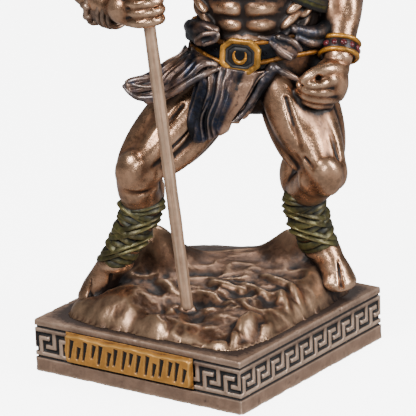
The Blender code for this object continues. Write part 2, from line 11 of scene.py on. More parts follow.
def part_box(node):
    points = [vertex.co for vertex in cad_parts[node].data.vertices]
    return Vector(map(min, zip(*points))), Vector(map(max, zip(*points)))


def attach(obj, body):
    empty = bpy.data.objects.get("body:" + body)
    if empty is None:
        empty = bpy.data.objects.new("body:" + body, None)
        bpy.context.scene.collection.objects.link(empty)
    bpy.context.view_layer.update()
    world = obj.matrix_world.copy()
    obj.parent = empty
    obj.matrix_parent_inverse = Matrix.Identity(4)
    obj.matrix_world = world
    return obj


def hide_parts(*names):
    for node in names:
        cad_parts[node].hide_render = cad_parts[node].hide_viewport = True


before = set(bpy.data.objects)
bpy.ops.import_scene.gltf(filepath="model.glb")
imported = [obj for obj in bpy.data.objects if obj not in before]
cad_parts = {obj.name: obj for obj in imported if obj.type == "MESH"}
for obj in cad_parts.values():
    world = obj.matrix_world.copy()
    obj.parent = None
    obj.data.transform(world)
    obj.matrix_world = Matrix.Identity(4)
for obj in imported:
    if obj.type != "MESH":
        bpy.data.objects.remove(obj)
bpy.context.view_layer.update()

# The photographer's table: white paper under the statue, a large soft light over the left shoulder, a
# weaker one on the right, a low one in front and one behind. The camera looks a little down on a
# corner of the plinth, and the figure stands square to it.
STANCE_TURN = math.radians(35.9)
LOOK_DOWN = math.radians(18.37)
LENS_TILT = math.radians(-2.17)
LENS_LENGTH = 346.3
CAMERA_AWAY = 0.702
AIM_RIGHT = 0.00057
AIM_UP = 0.02711
LIGHT_AIM = (0, 0, 0.04)
PAPER_GLOW = 6.0
FLOOR_REACH = 4


def node(tree, kind, *feeds, **settings):
    """Adds a node, sets it, and feeds its inputs in order, from sockets or plain numbers."""
    made = tree.nodes.new(kind)
    for name, value in settings.items():
        setattr(made, name, value)
    for socket, feed in zip(made.inputs, feeds):
        if isinstance(feed, bpy.types.NodeSocket):
            tree.links.new(feed, socket)
        elif feed is not None:
            socket.default_value = feed
    return made


def put(name, data):
    """A new object in the scene."""
    made = bpy.data.objects.new(name, data)
    bpy.context.scene.collection.objects.link(made)
    return made


camera_right = Vector((math.cos(STANCE_TURN), math.sin(STANCE_TURN), 0))
flat_back = Vector((math.sin(STANCE_TURN), -math.cos(STANCE_TURN), 0))
camera_back = flat_back * math.cos(LOOK_DOWN) + Vector((0, 0, math.sin(LOOK_DOWN)))
camera_up = camera_back.cross(camera_right)
tilted_right = camera_right * math.cos(LENS_TILT) + camera_up * math.sin(LENS_TILT)
tilted_up = camera_up * math.cos(LENS_TILT) - camera_right * math.sin(LENS_TILT)
camera_place = camera_right * AIM_RIGHT + Vector((0, 0, AIM_UP)) + camera_back * CAMERA_AWAY
lens = bpy.data.cameras.new("camera")
lens.lens = LENS_LENGTH
lens.sensor_width = 36
lens.clip_start = 0.01
camera = put("camera", lens)
turned = Matrix((tilted_right, tilted_up, camera_back)).transposed().to_4x4()
camera.matrix_world = Matrix.Translation(camera_place) @ turned
bpy.context.scene.camera = camera
# Each light: to the right of the camera's line, back towards the camera, up, width, height and power.
for name, right, back, up, width, height, power in (
    ("key_light", -0.3, 0.4, 0.44, 0.2, 0.2, 4.0),
    ("side_light", 0.52, 0.26, 0.3, 0.16, 0.4, 4.2),
    ("front_light", 0.06, 0.62, 0.14, 0.1, 0.1, 0.9),
    ("back_light", 0.1, -0.34, 0.52, 0.4, 0.14, 1.4),
):
    lamp = bpy.data.lights.new(name, "AREA")
    lamp.shape = "RECTANGLE"
    lamp.size = width
    lamp.size_y = height
    lamp.energy = power
    hung = put(name, lamp)
    hung.location = camera_right * right + flat_back * back + Vector((0, 0, up))
    hung.rotation_euler = (Vector(LIGHT_AIM) - hung.location).to_track_quat("-Z", "Y").to_euler()
# Behind the floor's far edge the camera sees the same overexposed paper as it does on the floor.
room = bpy.data.worlds.new("room")
room.use_nodes = True
bpy.context.scene.world = room
tree = room.node_tree
dim_room = tree.nodes["Background"]
dim_room.inputs["Color"].default_value = (0.9, 0.95, 1.0, 1)
dim_room.inputs["Strength"].default_value = 0.13
seen_room = node(tree, "ShaderNodeBackground", (1, 1, 1, 1), PAPER_GLOW)
seen = node(tree, "ShaderNodeLightPath").outputs["Is Camera Ray"]
both_rooms = node(tree, "ShaderNodeMixShader", seen, dim_room.outputs[0], seen_room.outputs[0])
tree.links.new(both_rooms.outputs[0], tree.nodes["World Output"].inputs["Surface"])
# The paper is white to the camera, and a mid grey for the light it throws back at the metal.
floor_mesh = bpy.data.meshes.new("floor")
corners = [(x * FLOOR_REACH, y * FLOOR_REACH, 0) for x, y in ((-1, -1), (1, -1), (1, 1), (-1, 1))]
floor_mesh.from_pydata(corners, [], [(0, 1, 2, 3)])
paper = bpy.data.materials.new("floor_paper")
paper.use_nodes = True
tree = paper.node_tree
paper_shader = tree.nodes["Principled BSDF"]
paper_shader.inputs["Base Color"].default_value = (0.93, 0.93, 0.94, 1)
paper_shader.inputs["Roughness"].default_value = 0.9
paper_shader.inputs["Emission Color"].default_value = (1, 1, 1, 1)
paper_shader.inputs["Emission Strength"].default_value = PAPER_GLOW
thrown_back = node(tree, "ShaderNodeBsdfDiffuse", (0.3, 0.3, 0.31, 1))
seen = node(tree, "ShaderNodeLightPath").outputs["Is Camera Ray"]
both_ways = node(tree, "ShaderNodeMixShader", seen, thrown_back.outputs[0], paper_shader.outputs[0])
tree.links.new(both_ways.outputs[0], tree.nodes["Material Output"].inputs["Surface"])
floor_mesh.materials.append(paper)
put("floor", floor_mesh)

# The plinth: a square block of cold-cast bronze with a rougher foot, a band between two inked
# grooves, and one channel that runs round all four sides as a Greek key. The channel is filled
# with black, and the block is rubbed to a matt tan on its edges.
MM = 0.001
PLINTH_HALF = (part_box("plinth")[1].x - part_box("plinth")[0].x) / 2 / MM
PLINTH_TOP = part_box("plinth")[1].z / MM
GROOVE_UPS = (2.62, 8.14)
KEY_PITCH = 2 * PLINTH_HALF / 10
KEY_CELL = KEY_PITCH / 3
KEY_START = 0.35 * KEY_CELL
KEY_LOW = 5.4 - KEY_CELL
KEY_HALF_WIDTH = 0.35
GROOVE_HALF_WIDTH = 0.21
INK_BEVEL = 0.06
KEY_DEPTH = 0.42


def smooth_step(low, high, value):
    share = np.clip((value - low) / (high - low), 0, 1)
    return share * share * (3 - 2 * share)


def hash_grid(cells, seed):
    """A fixed random number from 0 to 1 for each whole-numbered cell."""
    mixed = cells[..., 0] * 73856093 ^ cells[..., 1] * 19349663 ^ cells[..., 2] * 83492791 ^ seed * 2654435761
    mixed = (mixed ^ (mixed >> 13)) * 1274126177 & 0x7FFFFFFF
    return ((mixed ^ (mixed >> 16)) & 0xFFFF) / 65535.0


def rough(points, size, seed=0, layers=3):
    """Smooth random waves from -1 to 1 at points, with bumps about as wide as size, in millimetres."""
    total = np.zeros(len(points))
    strength = 1.0
    for layer in range(layers):
        scaled = np.asarray(points, float) / size * 2.0**layer + 100
        cell = np.floor(scaled).astype(np.int64)
        part = scaled - cell
        part = part * part * (3 - 2 * part)
        value = 0
        for corner in range(8):
            step = np.array((corner & 1, corner >> 1 & 1, corner >> 2 & 1))
            weight = np.prod(np.where(step, part, 1 - part), axis=1)
            value = value + weight * hash_grid(cell + step, seed + layer)
        total += strength * (value * 2 - 1)
        strength *= 0.5
    return total / 1.75


def smoothed(points, faces, passes):
    """Each point moved to the middle of its neighbours, a number of times."""
    ring = np.concatenate([faces[:, [k, (k + 1) % faces.shape[1]]] for k in range(faces.shape[1])])
    count = np.bincount(ring[:, 0], minlength=len(points)) + np.bincount(ring[:, 1], minlength=len(points))
    count = np.maximum(count, 1)
    moved = points
    for _ in range(passes):
        total = []
        for axis in range(3):
            along = moved[:, axis]
            total.append(
                np.bincount(ring[:, 0], along[ring[:, 1]], len(points))
                + np.bincount(ring[:, 1], along[ring[:, 0]], len(points))
            )
        moved = (moved + np.stack(total, 1) / count[:, None]) / 2
    return moved


def outward(points, faces):
    """The normal at each point."""
    a, b, c = points[faces[:, 0]], points[faces[:, 1]], points[faces[:, 2]]
    across = np.cross(b - a, c - a)
    if faces.shape[1] == 4:
        across = np.cross(c - a, points[faces[:, 3]] - b)
    total = np.zeros_like(points)
    for axis in range(3):
        for corner in range(faces.shape[1]):
            total[:, axis] += np.bincount(faces[:, corner], across[:, axis], len(points))
    return total / (np.linalg.norm(total, axis=1)[:, None] + 1e-12)


pieces = {}


def make_piece(name, points, faces, finish, replaces, passes, marks=None):
    """Makes a piece from points in millimetres, and marks on each how deep in a hollow it lies."""
    points = np.asarray(points, float)
    parts = faces if isinstance(faces, list) else [faces]
    mesh = bpy.data.meshes.new(name)
    mesh.from_pydata((points * MM).tolist(), [], [face for part in parts for face in part.tolist()])
    made = put(name, mesh)
    mesh.shade_smooth()
    hollow = ((smoothed(points, parts[0], passes) - points) * outward(points, parts[0])).sum(1)
    for mark, values in {"hollow": hollow, **(marks or {})}.items():
        mesh.attributes.new(mark, "FLOAT", "POINT").data.foreach_set("value", np.asarray(values, np.float32))
    mesh.materials.append(finish)
    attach(made, "root")
    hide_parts(replaces)
    pieces[name] = (made, points)


def join(shapes):
    """Several sets of points and faces as one."""
    points = []
    faces = []
    start = 0
    for some, rings in shapes:
        points.append(np.asarray(some, float))
        faces.append(np.asarray(rings) + start)
        start += len(some)
    return np.concatenate(points), np.concatenate(faces)


def paint_layers_group():
    """Dark wash in hollows with painted shade, metal rubbed on crests, and the fine grain of the casting."""
    tree = bpy.data.node_groups.new("paint_layers", "ShaderNodeTree")
    for name, value in (
        ("Shade Start", 0.54),
        ("Shade Full", 0.72),
        ("Hollow Full", 0.09),
        ("Crest Full", 0.1),
        ("Speckle Amount", 0.18),
        ("Speckle Scale", 1500.0),
    ):
        socket = tree.interface.new_socket(name=name, in_out="INPUT", socket_type="NodeSocketFloat")
        socket.default_value = value
    for name in ("Wash And Shade", "Rub", "Grain", "Mottle"):
        tree.interface.new_socket(name=name, in_out="OUTPUT", socket_type="NodeSocketFloat")
    given = node(tree, "NodeGroupInput").outputs
    place = node(tree, "ShaderNodeTexCoord").outputs["Object"]
    shade = node(tree, "ShaderNodeAttribute", attribute_name="shade").outputs["Fac"]
    hollow = node(tree, "ShaderNodeAttribute", attribute_name="hollow").outputs["Fac"]
    speckle = node(tree, "ShaderNodeTexNoise", place, None, given["Speckle Scale"], 4.0, 0.6).outputs[0]
    mottle = node(tree, "ShaderNodeTexNoise", place, None, 330.0, 4.0, 0.62).outputs[0]
    stain = node(tree, "ShaderNodeMath", speckle, 0.6, mottle, operation="MULTIPLY_ADD").outputs[0]
    stain = node(tree, "ShaderNodeMapRange", stain, 0.68, 0.92, 0.0, 1.0).outputs[0]
    centred = node(tree, "ShaderNodeMath", speckle, 0.5, operation="SUBTRACT").outputs[0]
    spread = node(tree, "ShaderNodeMath", centred, given["Speckle Amount"], operation="MULTIPLY").outputs[0]
    speckled = node(tree, "ShaderNodeMath", shade, spread, operation="ADD").outputs[0]
    broad = node(tree, "ShaderNodeMapRange", speckled, given["Shade Start"], given["Shade Full"], 0.0, 1.0)
    rough_hollow = node(tree, "ShaderNodeMath", spread, 0.35, hollow, operation="MULTIPLY_ADD").outputs[0]
    fine = node(tree, "ShaderNodeMapRange", rough_hollow, 0.0, given["Hollow Full"], 0.0, 1.0)
    both = node(tree, "ShaderNodeMath", broad.outputs[0], fine.outputs[0], operation="ADD", use_clamp=True)
    crest = node(tree, "ShaderNodeMath", rough_hollow, -1.0, operation="MULTIPLY").outputs[0]
    rubbed = node(tree, "ShaderNodeMapRange", crest, 0.0, given["Crest Full"], 0.0, 1.0).outputs[0]
    clear = node(tree, "ShaderNodeMath", 1.0, both.outputs[0], operation="SUBTRACT").outputs[0]
    rub = node(tree, "ShaderNodeMath", rubbed, clear, operation="MULTIPLY", use_clamp=True).outputs[0]
    out = node(tree, "NodeGroupOutput")
    for name, socket in (("Wash And Shade", both.outputs[0]), ("Rub", rub), ("Grain", speckle), ("Mottle", stain)):
        tree.links.new(socket, out.inputs[name])
    return tree


PAINT_LAYERS = paint_layers_group()


def mixed(tree, mask, under, over):
    """Two colours, the second laid over the first where the mask is bright."""
    made = node(tree, "ShaderNodeMix", mask, data_type="RGBA")
    for socket, feed in ((made.inputs[6], under), (made.inputs[7], over)):
        if isinstance(feed, bpy.types.NodeSocket):
            tree.links.new(feed, socket)
        else:
            socket.default_value = (*feed, 1)
    return made.outputs[2]


def toned(colour, share):
    """A colour made darker or lighter."""
    return tuple(share * channel for channel in colour)


def painted(
    name, wash, body, rub, metallic, roughness, layers, stain=1.0, grain=0.00006, mark=None, patch=None
):
    """A material of three coats: dark wash and painted shade, the body colour, and rubbed metal on crests.

    Layers are the shade at which the wash starts and is full, the depth of a hollow that it fills and
    the height of a crest that is rubbed bare, and then how strong and how fine its speckle is."""
    made = bpy.data.materials.new(name)
    made.use_nodes = True
    tree = made.node_tree
    shader = tree.nodes["Principled BSDF"]
    coats = node(tree, "ShaderNodeGroup", *layers, node_tree=PAINT_LAYERS)
    colour = mixed(
        tree, coats.outputs["Mottle"], toned(body, 1 - 0.7 * stain), toned(body, 1 + 0.45 * stain)
    )
    if patch:
        bared = node(tree, "ShaderNodeAttribute", attribute_name=patch[0]).outputs["Fac"]
        colour = mixed(tree, bared, colour, patch[1])
    rubbed = mixed(tree, coats.outputs["Mottle"], toned(rub, 1 - 0.42 * stain), toned(rub, 1.08))
    colour = mixed(tree, coats.outputs["Rub"], colour, rubbed)
    colour = mixed(tree, coats.outputs["Wash And Shade"], colour, wash)
    washed_and_shaded = coats.outputs["Wash And Shade"]
    dullness = node(tree, "ShaderNodeMapRange", washed_and_shaded, 0.0, 1.0, roughness, roughness + 0.2).outputs[0]
    shine = node(tree, "ShaderNodeMapRange", washed_and_shaded, 0.0, 1.0, metallic, metallic * 0.35).outputs[0]
    if mark:
        ink = node(tree, "ShaderNodeAttribute", attribute_name=mark[0]).outputs["Fac"]
        colour = mixed(tree, ink, colour, mark[1])
        dry = node(tree, "ShaderNodeMath", 1.0, ink, operation="SUBTRACT").outputs[0]
        shine = node(tree, "ShaderNodeMath", shine, dry, operation="MULTIPLY").outputs[0]
    tree.links.new(colour, shader.inputs["Base Color"])
    tree.links.new(dullness, shader.inputs["Roughness"])
    tree.links.new(shine, shader.inputs["Metallic"])
    bump = node(tree, "ShaderNodeBump")
    bump.inputs["Strength"].default_value = 1.0
    bump.inputs["Distance"].default_value = grain
    tree.links.new(coats.outputs["Grain"], bump.inputs["Height"])
    tree.links.new(bump.outputs[0], shader.inputs["Normal"])
    return made


def key_distance(along, up):
    """How far a place on the unrolled band is from the key's middle line, in square steps."""
    x = np.mod(along - KEY_START, KEY_PITCH)
    best = np.full(np.broadcast(along, up).shape, 9.0)
    path = ((0, 0), (0, 2), (2, 2), (2, 1), (1, 1), (1, 0), (3, 0), (3, 2))
    for shift in (0, -KEY_PITCH):
        for (x0, z0), (x1, z1) in zip(path, path[1:]):
            low_x, high_x = sorted((x0 * KEY_CELL, x1 * KEY_CELL))
            low_z, high_z = sorted((z0, z1))
            off_x = np.maximum(np.maximum(low_x - (x + shift), (x + shift) - high_x), 0)
            off_z = np.maximum(KEY_LOW + low_z * KEY_CELL - up, up - KEY_LOW - high_z * KEY_CELL)
            best = np.minimum(best, np.maximum(off_x, np.maximum(off_z, 0)))
    return best


def inked(away, half):
    """How much of the black fill lies at a distance from the middle of a channel."""
    return 1 - smooth_step(half - INK_BEVEL, half + INK_BEVEL, away)


def line_edges(middles, half):
    """Grid lines on both sides of each channel edge."""
    return [m + s * (half + e) for m in middles for s in (-1, 1) for e in (-INK_BEVEL, INK_BEVEL)]


key_lines = [KEY_START + KEY_CELL * k for k in range(-1, 31)]
alongs = line_edges(key_lines, KEY_HALF_WIDTH) + [m + KEY_CELL / 2 for m in key_lines]
alongs = sorted(a for a in alongs if 0.02 < a < 2 * PLINTH_HALF - 0.02)
alongs = np.array([0.0] + alongs)
ups = [0.0, 0.12, 0.35, 0.7, 1.1, 1.6, 2.1, 9.2, 9.38, 9.46, 9.5, 3.2, 7.7, 8.6, 8.95]
ups += line_edges(GROOVE_UPS, GROOVE_HALF_WIDTH) + [2.3]
ups += line_edges([KEY_LOW + KEY_CELL * k for k in range(3)], KEY_HALF_WIDTH)
ups += [KEY_LOW + KEY_CELL * (k + 0.5) for k in range(2)]
ups = np.array(sorted(ups))
rows = []
inks = []
lap = np.concatenate([alongs + 2 * PLINTH_HALF * side for side in range(4)])
for up in ups:
    foot = float(1 - smooth_step(2.3, 2.62, up))
    reach = PLINTH_HALF + foot * (0.1 + 0.22 * (1 - up / 2.5) ** 2)
    corner = 0.18 + 0.9 * foot * (1 - up / 3.2)
    top_round = 0.14 * smooth_step(9.2, 9.5, up) ** 2
    side = np.floor(lap / (2 * PLINTH_HALF)).astype(int)
    local = lap - 2 * PLINTH_HALF * side - PLINTH_HALF
    square = np.stack([local * reach / PLINTH_HALF, np.full(len(lap), -reach)], 1)
    near_corner = (side == 1) & (local < 0) | (side == 0) & (local > 0)
    radius = np.where(near_corner, 0.16, corner)[:, None]
    inner = np.clip(square, -(reach - radius), reach - radius)
    away = square - inner
    away /= np.linalg.norm(away, axis=1)[:, None] + 1e-9
    grooves = max(inked(abs(up - middle), GROOVE_HALF_WIDTH) for middle in GROOVE_UPS)
    ink = np.maximum(inked(key_distance(lap, up), KEY_HALF_WIDTH), grooves)
    flat = np.stack([lap, np.full(len(lap), up), np.zeros(len(lap))], 1)
    uneven = 0.035 * rough(flat, 2.2, 3) * (1 - ink)
    uneven -= foot * np.maximum(0, rough(flat, 1.3, 9) - 0.25) * 0.35 * (1 - up / 2.6)
    place = inner + away * (radius + (uneven - KEY_DEPTH * ink - top_round)[:, None])
    angle = side * math.pi / 2
    x = place[:, 0] * np.cos(angle) - place[:, 1] * np.sin(angle)
    y = place[:, 0] * np.sin(angle) + place[:, 1] * np.cos(angle)
    crumble = 0.22 * np.maximum(0, rough(flat * (1, 0, 0), 1.1, 21) - 0.1) * max(0, 1 - up / 0.3)
    dent = 0.2 * smooth_step(9.15, 9.5, up) * smooth_step(0.45, 0.8, rough(flat * (1, 0, 0), 1.6, 33))
    notch = 0.45 * smooth_step(8.6, 9.5, up) * np.exp(-(((lap - 2 * PLINTH_HALF - 31.0) / 0.35) ** 2))
    rows.append(np.stack([x, y, np.full(len(lap), up) + crumble - dent - notch], 1))
    inks.append(ink)
side_rows = len(rows)
for inset in (0.12, 0.45, 0.9, 1.5, 2.3, 3.4, 6.0, 12.0):
    shrunk = rows[side_rows - 1] * (1 - inset / PLINTH_HALF, 1 - inset / PLINTH_HALF, 1)
    shrunk[:, 2] = PLINTH_TOP + 0.05 * rough(shrunk, 1.6, 5) * min(1, inset) - 0.01
    rows.append(shrunk)
    inks.append(np.zeros(len(lap)))
for inset in (1.0, 8.0):
    shrunk = rows[0] * (1 - inset / PLINTH_HALF, 1 - inset / PLINTH_HALF, 0)
    rows.insert(0, shrunk)
    inks.insert(0, np.zeros(len(lap)))
plinth_points = np.concatenate(rows + [np.array([[0, 0, 0], [0, 0, PLINTH_TOP]])])
around = np.arange(len(lap))
after = np.roll(around, -1)
band = np.stack([around, after, after + len(lap), around + len(lap)], 1)
plinth_faces = np.concatenate([band + r * len(lap) for r in range(len(rows) - 1)])
last = len(rows) * len(lap)
caps = np.concatenate(
    [
        np.stack([after, around, np.full(len(lap), last)], 1),
        np.stack([around + last - len(lap), after + last - len(lap), np.full(len(lap), last + 1)], 1),
    ]
)
plinth_bronze = painted(
    "plinth_bronze", (0.04, 0.024, 0.018), (0.36, 0.225, 0.155), (0.58, 0.41, 0.3),
    metallic=0.6, roughness=0.44, layers=(0.5, 0.7, 0.08, 0.06), stain=0.3,
    mark=("ink", (0.002, 0.002, 0.0025)),
)
plinth_ink = {"ink": np.concatenate(inks + [np.zeros(2)])}
make_piece(
    "plinth_block", plinth_points, [plinth_faces, caps], plinth_bronze, "plinth", 4,
    plinth_ink
)

# The name plate: a thin plate with a wavy edge, painted gold and stuck on the front of the plinth.
# Its inscription is a row of separate chisel strokes that spell nothing, filled with black.
PLATE_LOW, PLATE_HIGH = (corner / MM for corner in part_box("name_plate"))
PLATE_STEP = 0.14
plate_x = np.arange(PLATE_LOW.x, PLATE_HIGH.x + PLATE_STEP / 2, PLATE_STEP)
plate_z = np.arange(PLATE_LOW.z, PLATE_HIGH.z + PLATE_STEP / 2, PLATE_STEP)
plate_mid = ((PLATE_LOW.x + PLATE_HIGH.x) / 2, (PLATE_LOW.z + PLATE_HIGH.z) / 2)
plate_half = ((PLATE_HIGH.x - PLATE_LOW.x) / 2, (PLATE_HIGH.z - PLATE_LOW.z) / 2)
gx, gz = (
    grid.ravel() for grid in np.meshgrid(plate_x - plate_mid[0], plate_z - plate_mid[1], indexing="ij")
)
# Middle along the plate, middle up it, half length and lean in degrees of each stroke.
STROKES = [
    (-12.1, 0, 1.8, 11),
    (-10.5, -0.5, 1.2, 12),
    (-9.1, 0.1, 1.75, 10),
    (-7.2, 0.4, 1.3, 13),
    (-5.8, 0, 1.8, 11),
    (-3.9, -0.4, 1.35, 12),
    (-2.5, 0.2, 1.6, 10),
    (-0.6, 0, 1.8, 12),
    (0.9, 0.5, 1.2, 11),
    (2.4, -0.1, 1.75, 13),
    (4.3, 0, 1.8, 10),
    (5.8, -0.5, 1.25, 12),
    (7.3, 0.1, 1.7, 11),
    (9.2, 0.3, 1.4, 12),
    (10.6, 0, 1.8, 10),
    (12.2, -0.4, 1.3, 12),
]
stroke_ink = np.zeros(len(gx))
for x, z, half, lean in STROKES:
    lean = math.radians(lean)
    long = (gx - x) * math.sin(lean) + (gz - z) * math.cos(lean)
    across = (gx - x) * math.cos(lean) - (gz - z) * math.sin(lean)
    width = 0.34 + 0.1 * long / half
    stroke_ink = np.maximum(
        stroke_ink, 1 - smooth_step(-0.07, 0.09, np.maximum(abs(across) - width, abs(long) - half))
    )
wavy = 0.12 * np.sin(gx * 0.55 + 1.0) + 0.07 * np.sin(gx * 1.7)
edge_x = plate_half[0] - abs(gx) - 0.1 - 0.1 * np.sin(gz * 1.9 + np.sign(gx))
edge_z = plate_half[1] - abs(gz) - 0.12 + np.where(gz > 0, wavy - 0.1, 0)
corner_x = np.clip(0.7 - edge_x, 0, None)
corner_z = np.clip(0.7 - edge_z, 0, None)
inward = 0.7 - np.hypot(corner_x, corner_z)
proud = smooth_step(-0.02, 0.3, inward)
plate_front = PLATE_HIGH.y - 0.05 - (PLATE_HIGH.y - PLATE_LOW.y - 0.1) * proud
flat = np.stack([gx, gz, gx * 0], 1)
plate_front += 0.3 * stroke_ink - 0.03 * rough(flat, 1.4, 12) * proud
front = np.stack([gx + plate_mid[0], plate_front, gz + plate_mid[1]], 1)
back = front.copy()
back[:, 1] = PLATE_HIGH.y


def grid_faces(down, across):
    number = np.arange(down * across).reshape(down, across)
    return np.stack([number[:-1, :-1], number[1:, :-1], number[1:, 1:], number[:-1, 1:]], -1).reshape(-1, 4)


def slab_faces(down, across):
    """The faces of a slab between two grids of points, the front one first, closed all round."""
    faces = grid_faces(down, across)
    start = down * across
    number = np.arange(start).reshape(down, across)
    rim = np.concatenate([number[0, :-1], number[:-1, -1], number[-1, :0:-1], number[:0:-1, 0]])
    after = np.roll(rim, -1)
    walls = np.stack([rim, after, after + start, rim + start], 1)
    return np.concatenate([faces, faces[:, ::-1] + start, walls])


plate_faces = slab_faces(len(plate_x), len(plate_z))
gold_paint = painted(
    "gold_paint", (0.05, 0.022, 0.008), (0.56, 0.242, 0.045), (0.72, 0.38, 0.1),
    metallic=0.5, roughness=0.42, layers=(0.56, 0.78, 0.1, 0.06), stain=0.3,
    mark=("ink", (0.004, 0.003, 0.002)),
)
plate_ink = {"ink": np.concatenate([stroke_ink, 0 * stroke_ink])}
plate_points = np.concatenate([front, back])
make_piece(
    "inscribed_plate", plate_points, plate_faces, gold_paint, "name_plate", 3, plate_ink
)

# The rock: a craggy mound that is one casting with the figure. It rises to two humps behind the
# feet, falls to the front in lobes and facets, and leaves a narrow flat border of the plinth.
# Side, fore, height and spread of the broad rises, in the figure's own stance.
RISES = [
    (-8.8, 6, 6, 4.6),
    (15.6, 8.6, 3.6, 4.4),
    (20.5, -1, 0.8, 5),
    (-14, -7, 1.2, 4),
]
# Side, fore, top, half length, half width and turn in degrees of the lobes along the front.
LOBES = [
    (-18.3, -7.4, 2.3, 2.6, 1.7, -50),
    (-15.8, -10.8, 2.6, 2.8, 1.6, -42),
    (-12.9, -14.4, 2.6, 2.8, 1.7, -58),
    (-9.3, -16, 3.9, 3.4, 2.2, -66),
    (-10.2, -18.8, 1.9, 2.2, 1.6, -20),
    (-6, -19.8, 3.5, 3.2, 1.7, -70),
    (-2.2, -23.6, 2.4, 2.8, 1.9, -30),
    (0.6, -25.6, 3.4, 2.4, 2.6, -5),
    (3.6, -26, 1.9, 1.8, 1.3, 50),
    (5, -22.2, 3, 3, 1.5, 66),
    (7.2, -18.8, 4.6, 3.4, 1.5, 60),
    (9.8, -18.8, 3.6, 2.8, 1.1, 58),
    (12.8, -16.6, 3.4, 2.8, 1.6, 56),
    (15, -13.4, 3.6, 2.8, 1.5, 50),
    (17, -10.4, 3.6, 2.8, 1.5, 42),
    (19.5, -7, 2.4, 2.2, 1.6, 30),
    (22, -2.9, 2.3, 2.2, 1.7, 60),
    (24.2, 0.8, 1.7, 1.6, 1.3, 60),
    (-7.4, -3, 5.9, 4.4, 2, -60),
    (3, -4.6, 5.6, 7.5, 1.2, -35),
    (7.6, -6.4, 5.4, 7, 1.2, -42),
    (1.6, -8.8, 4.8, 5.5, 1.1, -38),
    (6.6, -11.6, 4.5, 5, 1.2, -50),
    (-10.6, -8.8, 3.9, 3, 1.8, -46),
    (-13, -5.2, 4, 2.6, 1.6, -50),
    (12.2, -4.6, 6, 5.6, 1.3, -50),
    (12.4, -9.8, 5, 3.6, 1.3, -62),
    (-3.7, -12.3, 4.5, 1.5, 1.4, 0),
    (-6.6, -13.2, 3.9, 2.6, 1.6, -60),
]
# Side, fore, depth and spread of the dark hollows.
HOLLOWS = [
    (-1.8, -9.6, 1.5, 1.9), (2, -9.6, 1.3, 2.2), (-2, -14.6, 1, 2), (10.4, -11.2, 0.7, 2),
    (-9.6, -6.4, 0.7, 1.6)
]
ROCK_STEP = 0.25
ROCK_REACH = 20.6


def to_stance(x, y):
    cosine, sine = math.cos(STANCE_TURN), math.sin(STANCE_TURN)
    return x * cosine + y * sine, y * cosine - x * sine


def rock_height(side, fore):
    """The mound's height above the plinth, before its edge falls away."""
    up = 3.7 + 0.17 * (fore + 12.3) - 0.42 * np.maximum(0, fore - 8)
    for rise_side, rise_fore, height, spread in RISES:
        up = up + height * np.exp(-(((side - rise_side) ** 2 + (fore - rise_fore) ** 2) / spread**2))
    up = up - 3.4 * np.exp(-(((side + 20.5) / 4.5) ** 2 + ((fore - 1.5) / 6.0) ** 2))
    return up


line = np.arange(-ROCK_REACH - 0.6, ROCK_REACH + 0.7, ROCK_STEP)
rock_x, rock_y = (grid.ravel() for grid in np.meshgrid(line, line, indexing="ij"))
side, fore = to_stance(rock_x, rock_y)
flat = np.stack([side, fore, 0 * side], 1)
front_share = smooth_step(7.0, -6.0, fore)
warp = np.stack([rough(flat, 3.6, 41), rough(flat, 3.6, 51), 0 * side], 1)
crag = 1 - abs(rough((flat + 0.9 * warp) * (0.8, 1.1, 1), 4.2, 61, 2))
chips = 1 - abs(rough((flat + 0.5 * warp) * (1.3, 0.8, 1), 1.5, 71, 2))
up = rock_height(side, fore)
up = up + (crag - 0.72) * (0.25 + 0.9 * front_share) + (chips - 0.7) * (0.03 + 0.16 * front_share)
up = up + 0.25 * rough(flat, 5.0, 81) - 0.2
bent_side = side + 1.1 * rough(flat, 2.6, 43, 2)
bent_fore = fore + 1.1 * rough(flat, 2.6, 53, 2)
for lobe_side, lobe_fore, top, long, wide, turn in LOBES:
    turn = math.radians(turn)
    from_side, from_fore = bent_side - lobe_side, bent_fore - lobe_fore
    a = from_side * math.cos(turn) + from_fore * math.sin(turn)
    b = from_fore * math.cos(turn) - from_side * math.sin(turn)
    away = np.sqrt((a / long) ** 2 + (b / wide) ** 2)
    lobe = top + 0.45 * rough(flat, 2.4, 91, 2) - 1.7 * away**2.0
    blend = 0.4 if lobe_fore < -11 else 1.3
    share = np.clip(0.5 + 0.5 * (up - lobe) / blend, 0, 1)
    up = lobe + (up - lobe) * share + blend * share * (1 - share)
for hollow_side, hollow_fore, depth, spread in HOLLOWS:
    up = up - depth * np.exp(-(((side - hollow_side) ** 2 + (fore - hollow_fore) ** 2) / spread**2))
# The edge is uneven: it runs out in front of each lobe and draws back between them.
angle = np.arctan2(rock_y, rock_x)
edge = ROCK_REACH - 1.0 + 0.8 * rough(
    np.stack([np.cos(angle) * 6, np.sin(angle) * 6, 0 * angle], 1), 1.8, 95
)
square = (abs(rock_x) ** 7 + abs(rock_y) ** 7) ** (1 / 7)
inward = edge - square - 1.6 * np.exp(-(((rock_x + 21) ** 2 + (rock_y - 19) ** 2) / 60))
fall = np.clip(1 - np.clip(1 - inward / (2.9 + 0.8 * crag), 0, 1) ** 1.8, 0, 1) ** 0.62
rock_up = np.where(inward > 0, up * fall, -0.05)
ROCK_FLOOR = (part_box("minotaur")[0].z - 0.0002) / MM - PLINTH_TOP
rock_up = np.maximum(rock_up, ROCK_FLOOR)
cell = grid_faces(len(line), len(line))
cell = cell[(rock_up[cell] > ROCK_FLOOR + 0.01).any(1)]
used = np.unique(cell)
renumber = np.full(len(rock_x), -1)
renumber[used] = np.arange(len(used))
cell = renumber[cell]
top = np.stack([rock_x[used], rock_y[used], rock_up[used] + PLINTH_TOP], 1)
under = top.copy()
under[:, 2] = PLINTH_TOP - 0.02
edges = np.concatenate([cell[:, [k, (k + 1) % 4]] for k in range(4)])
pairs = {tuple(pair) for pair in edges.tolist()}
rim = np.array([pair for pair in pairs if pair[::-1] not in pairs])
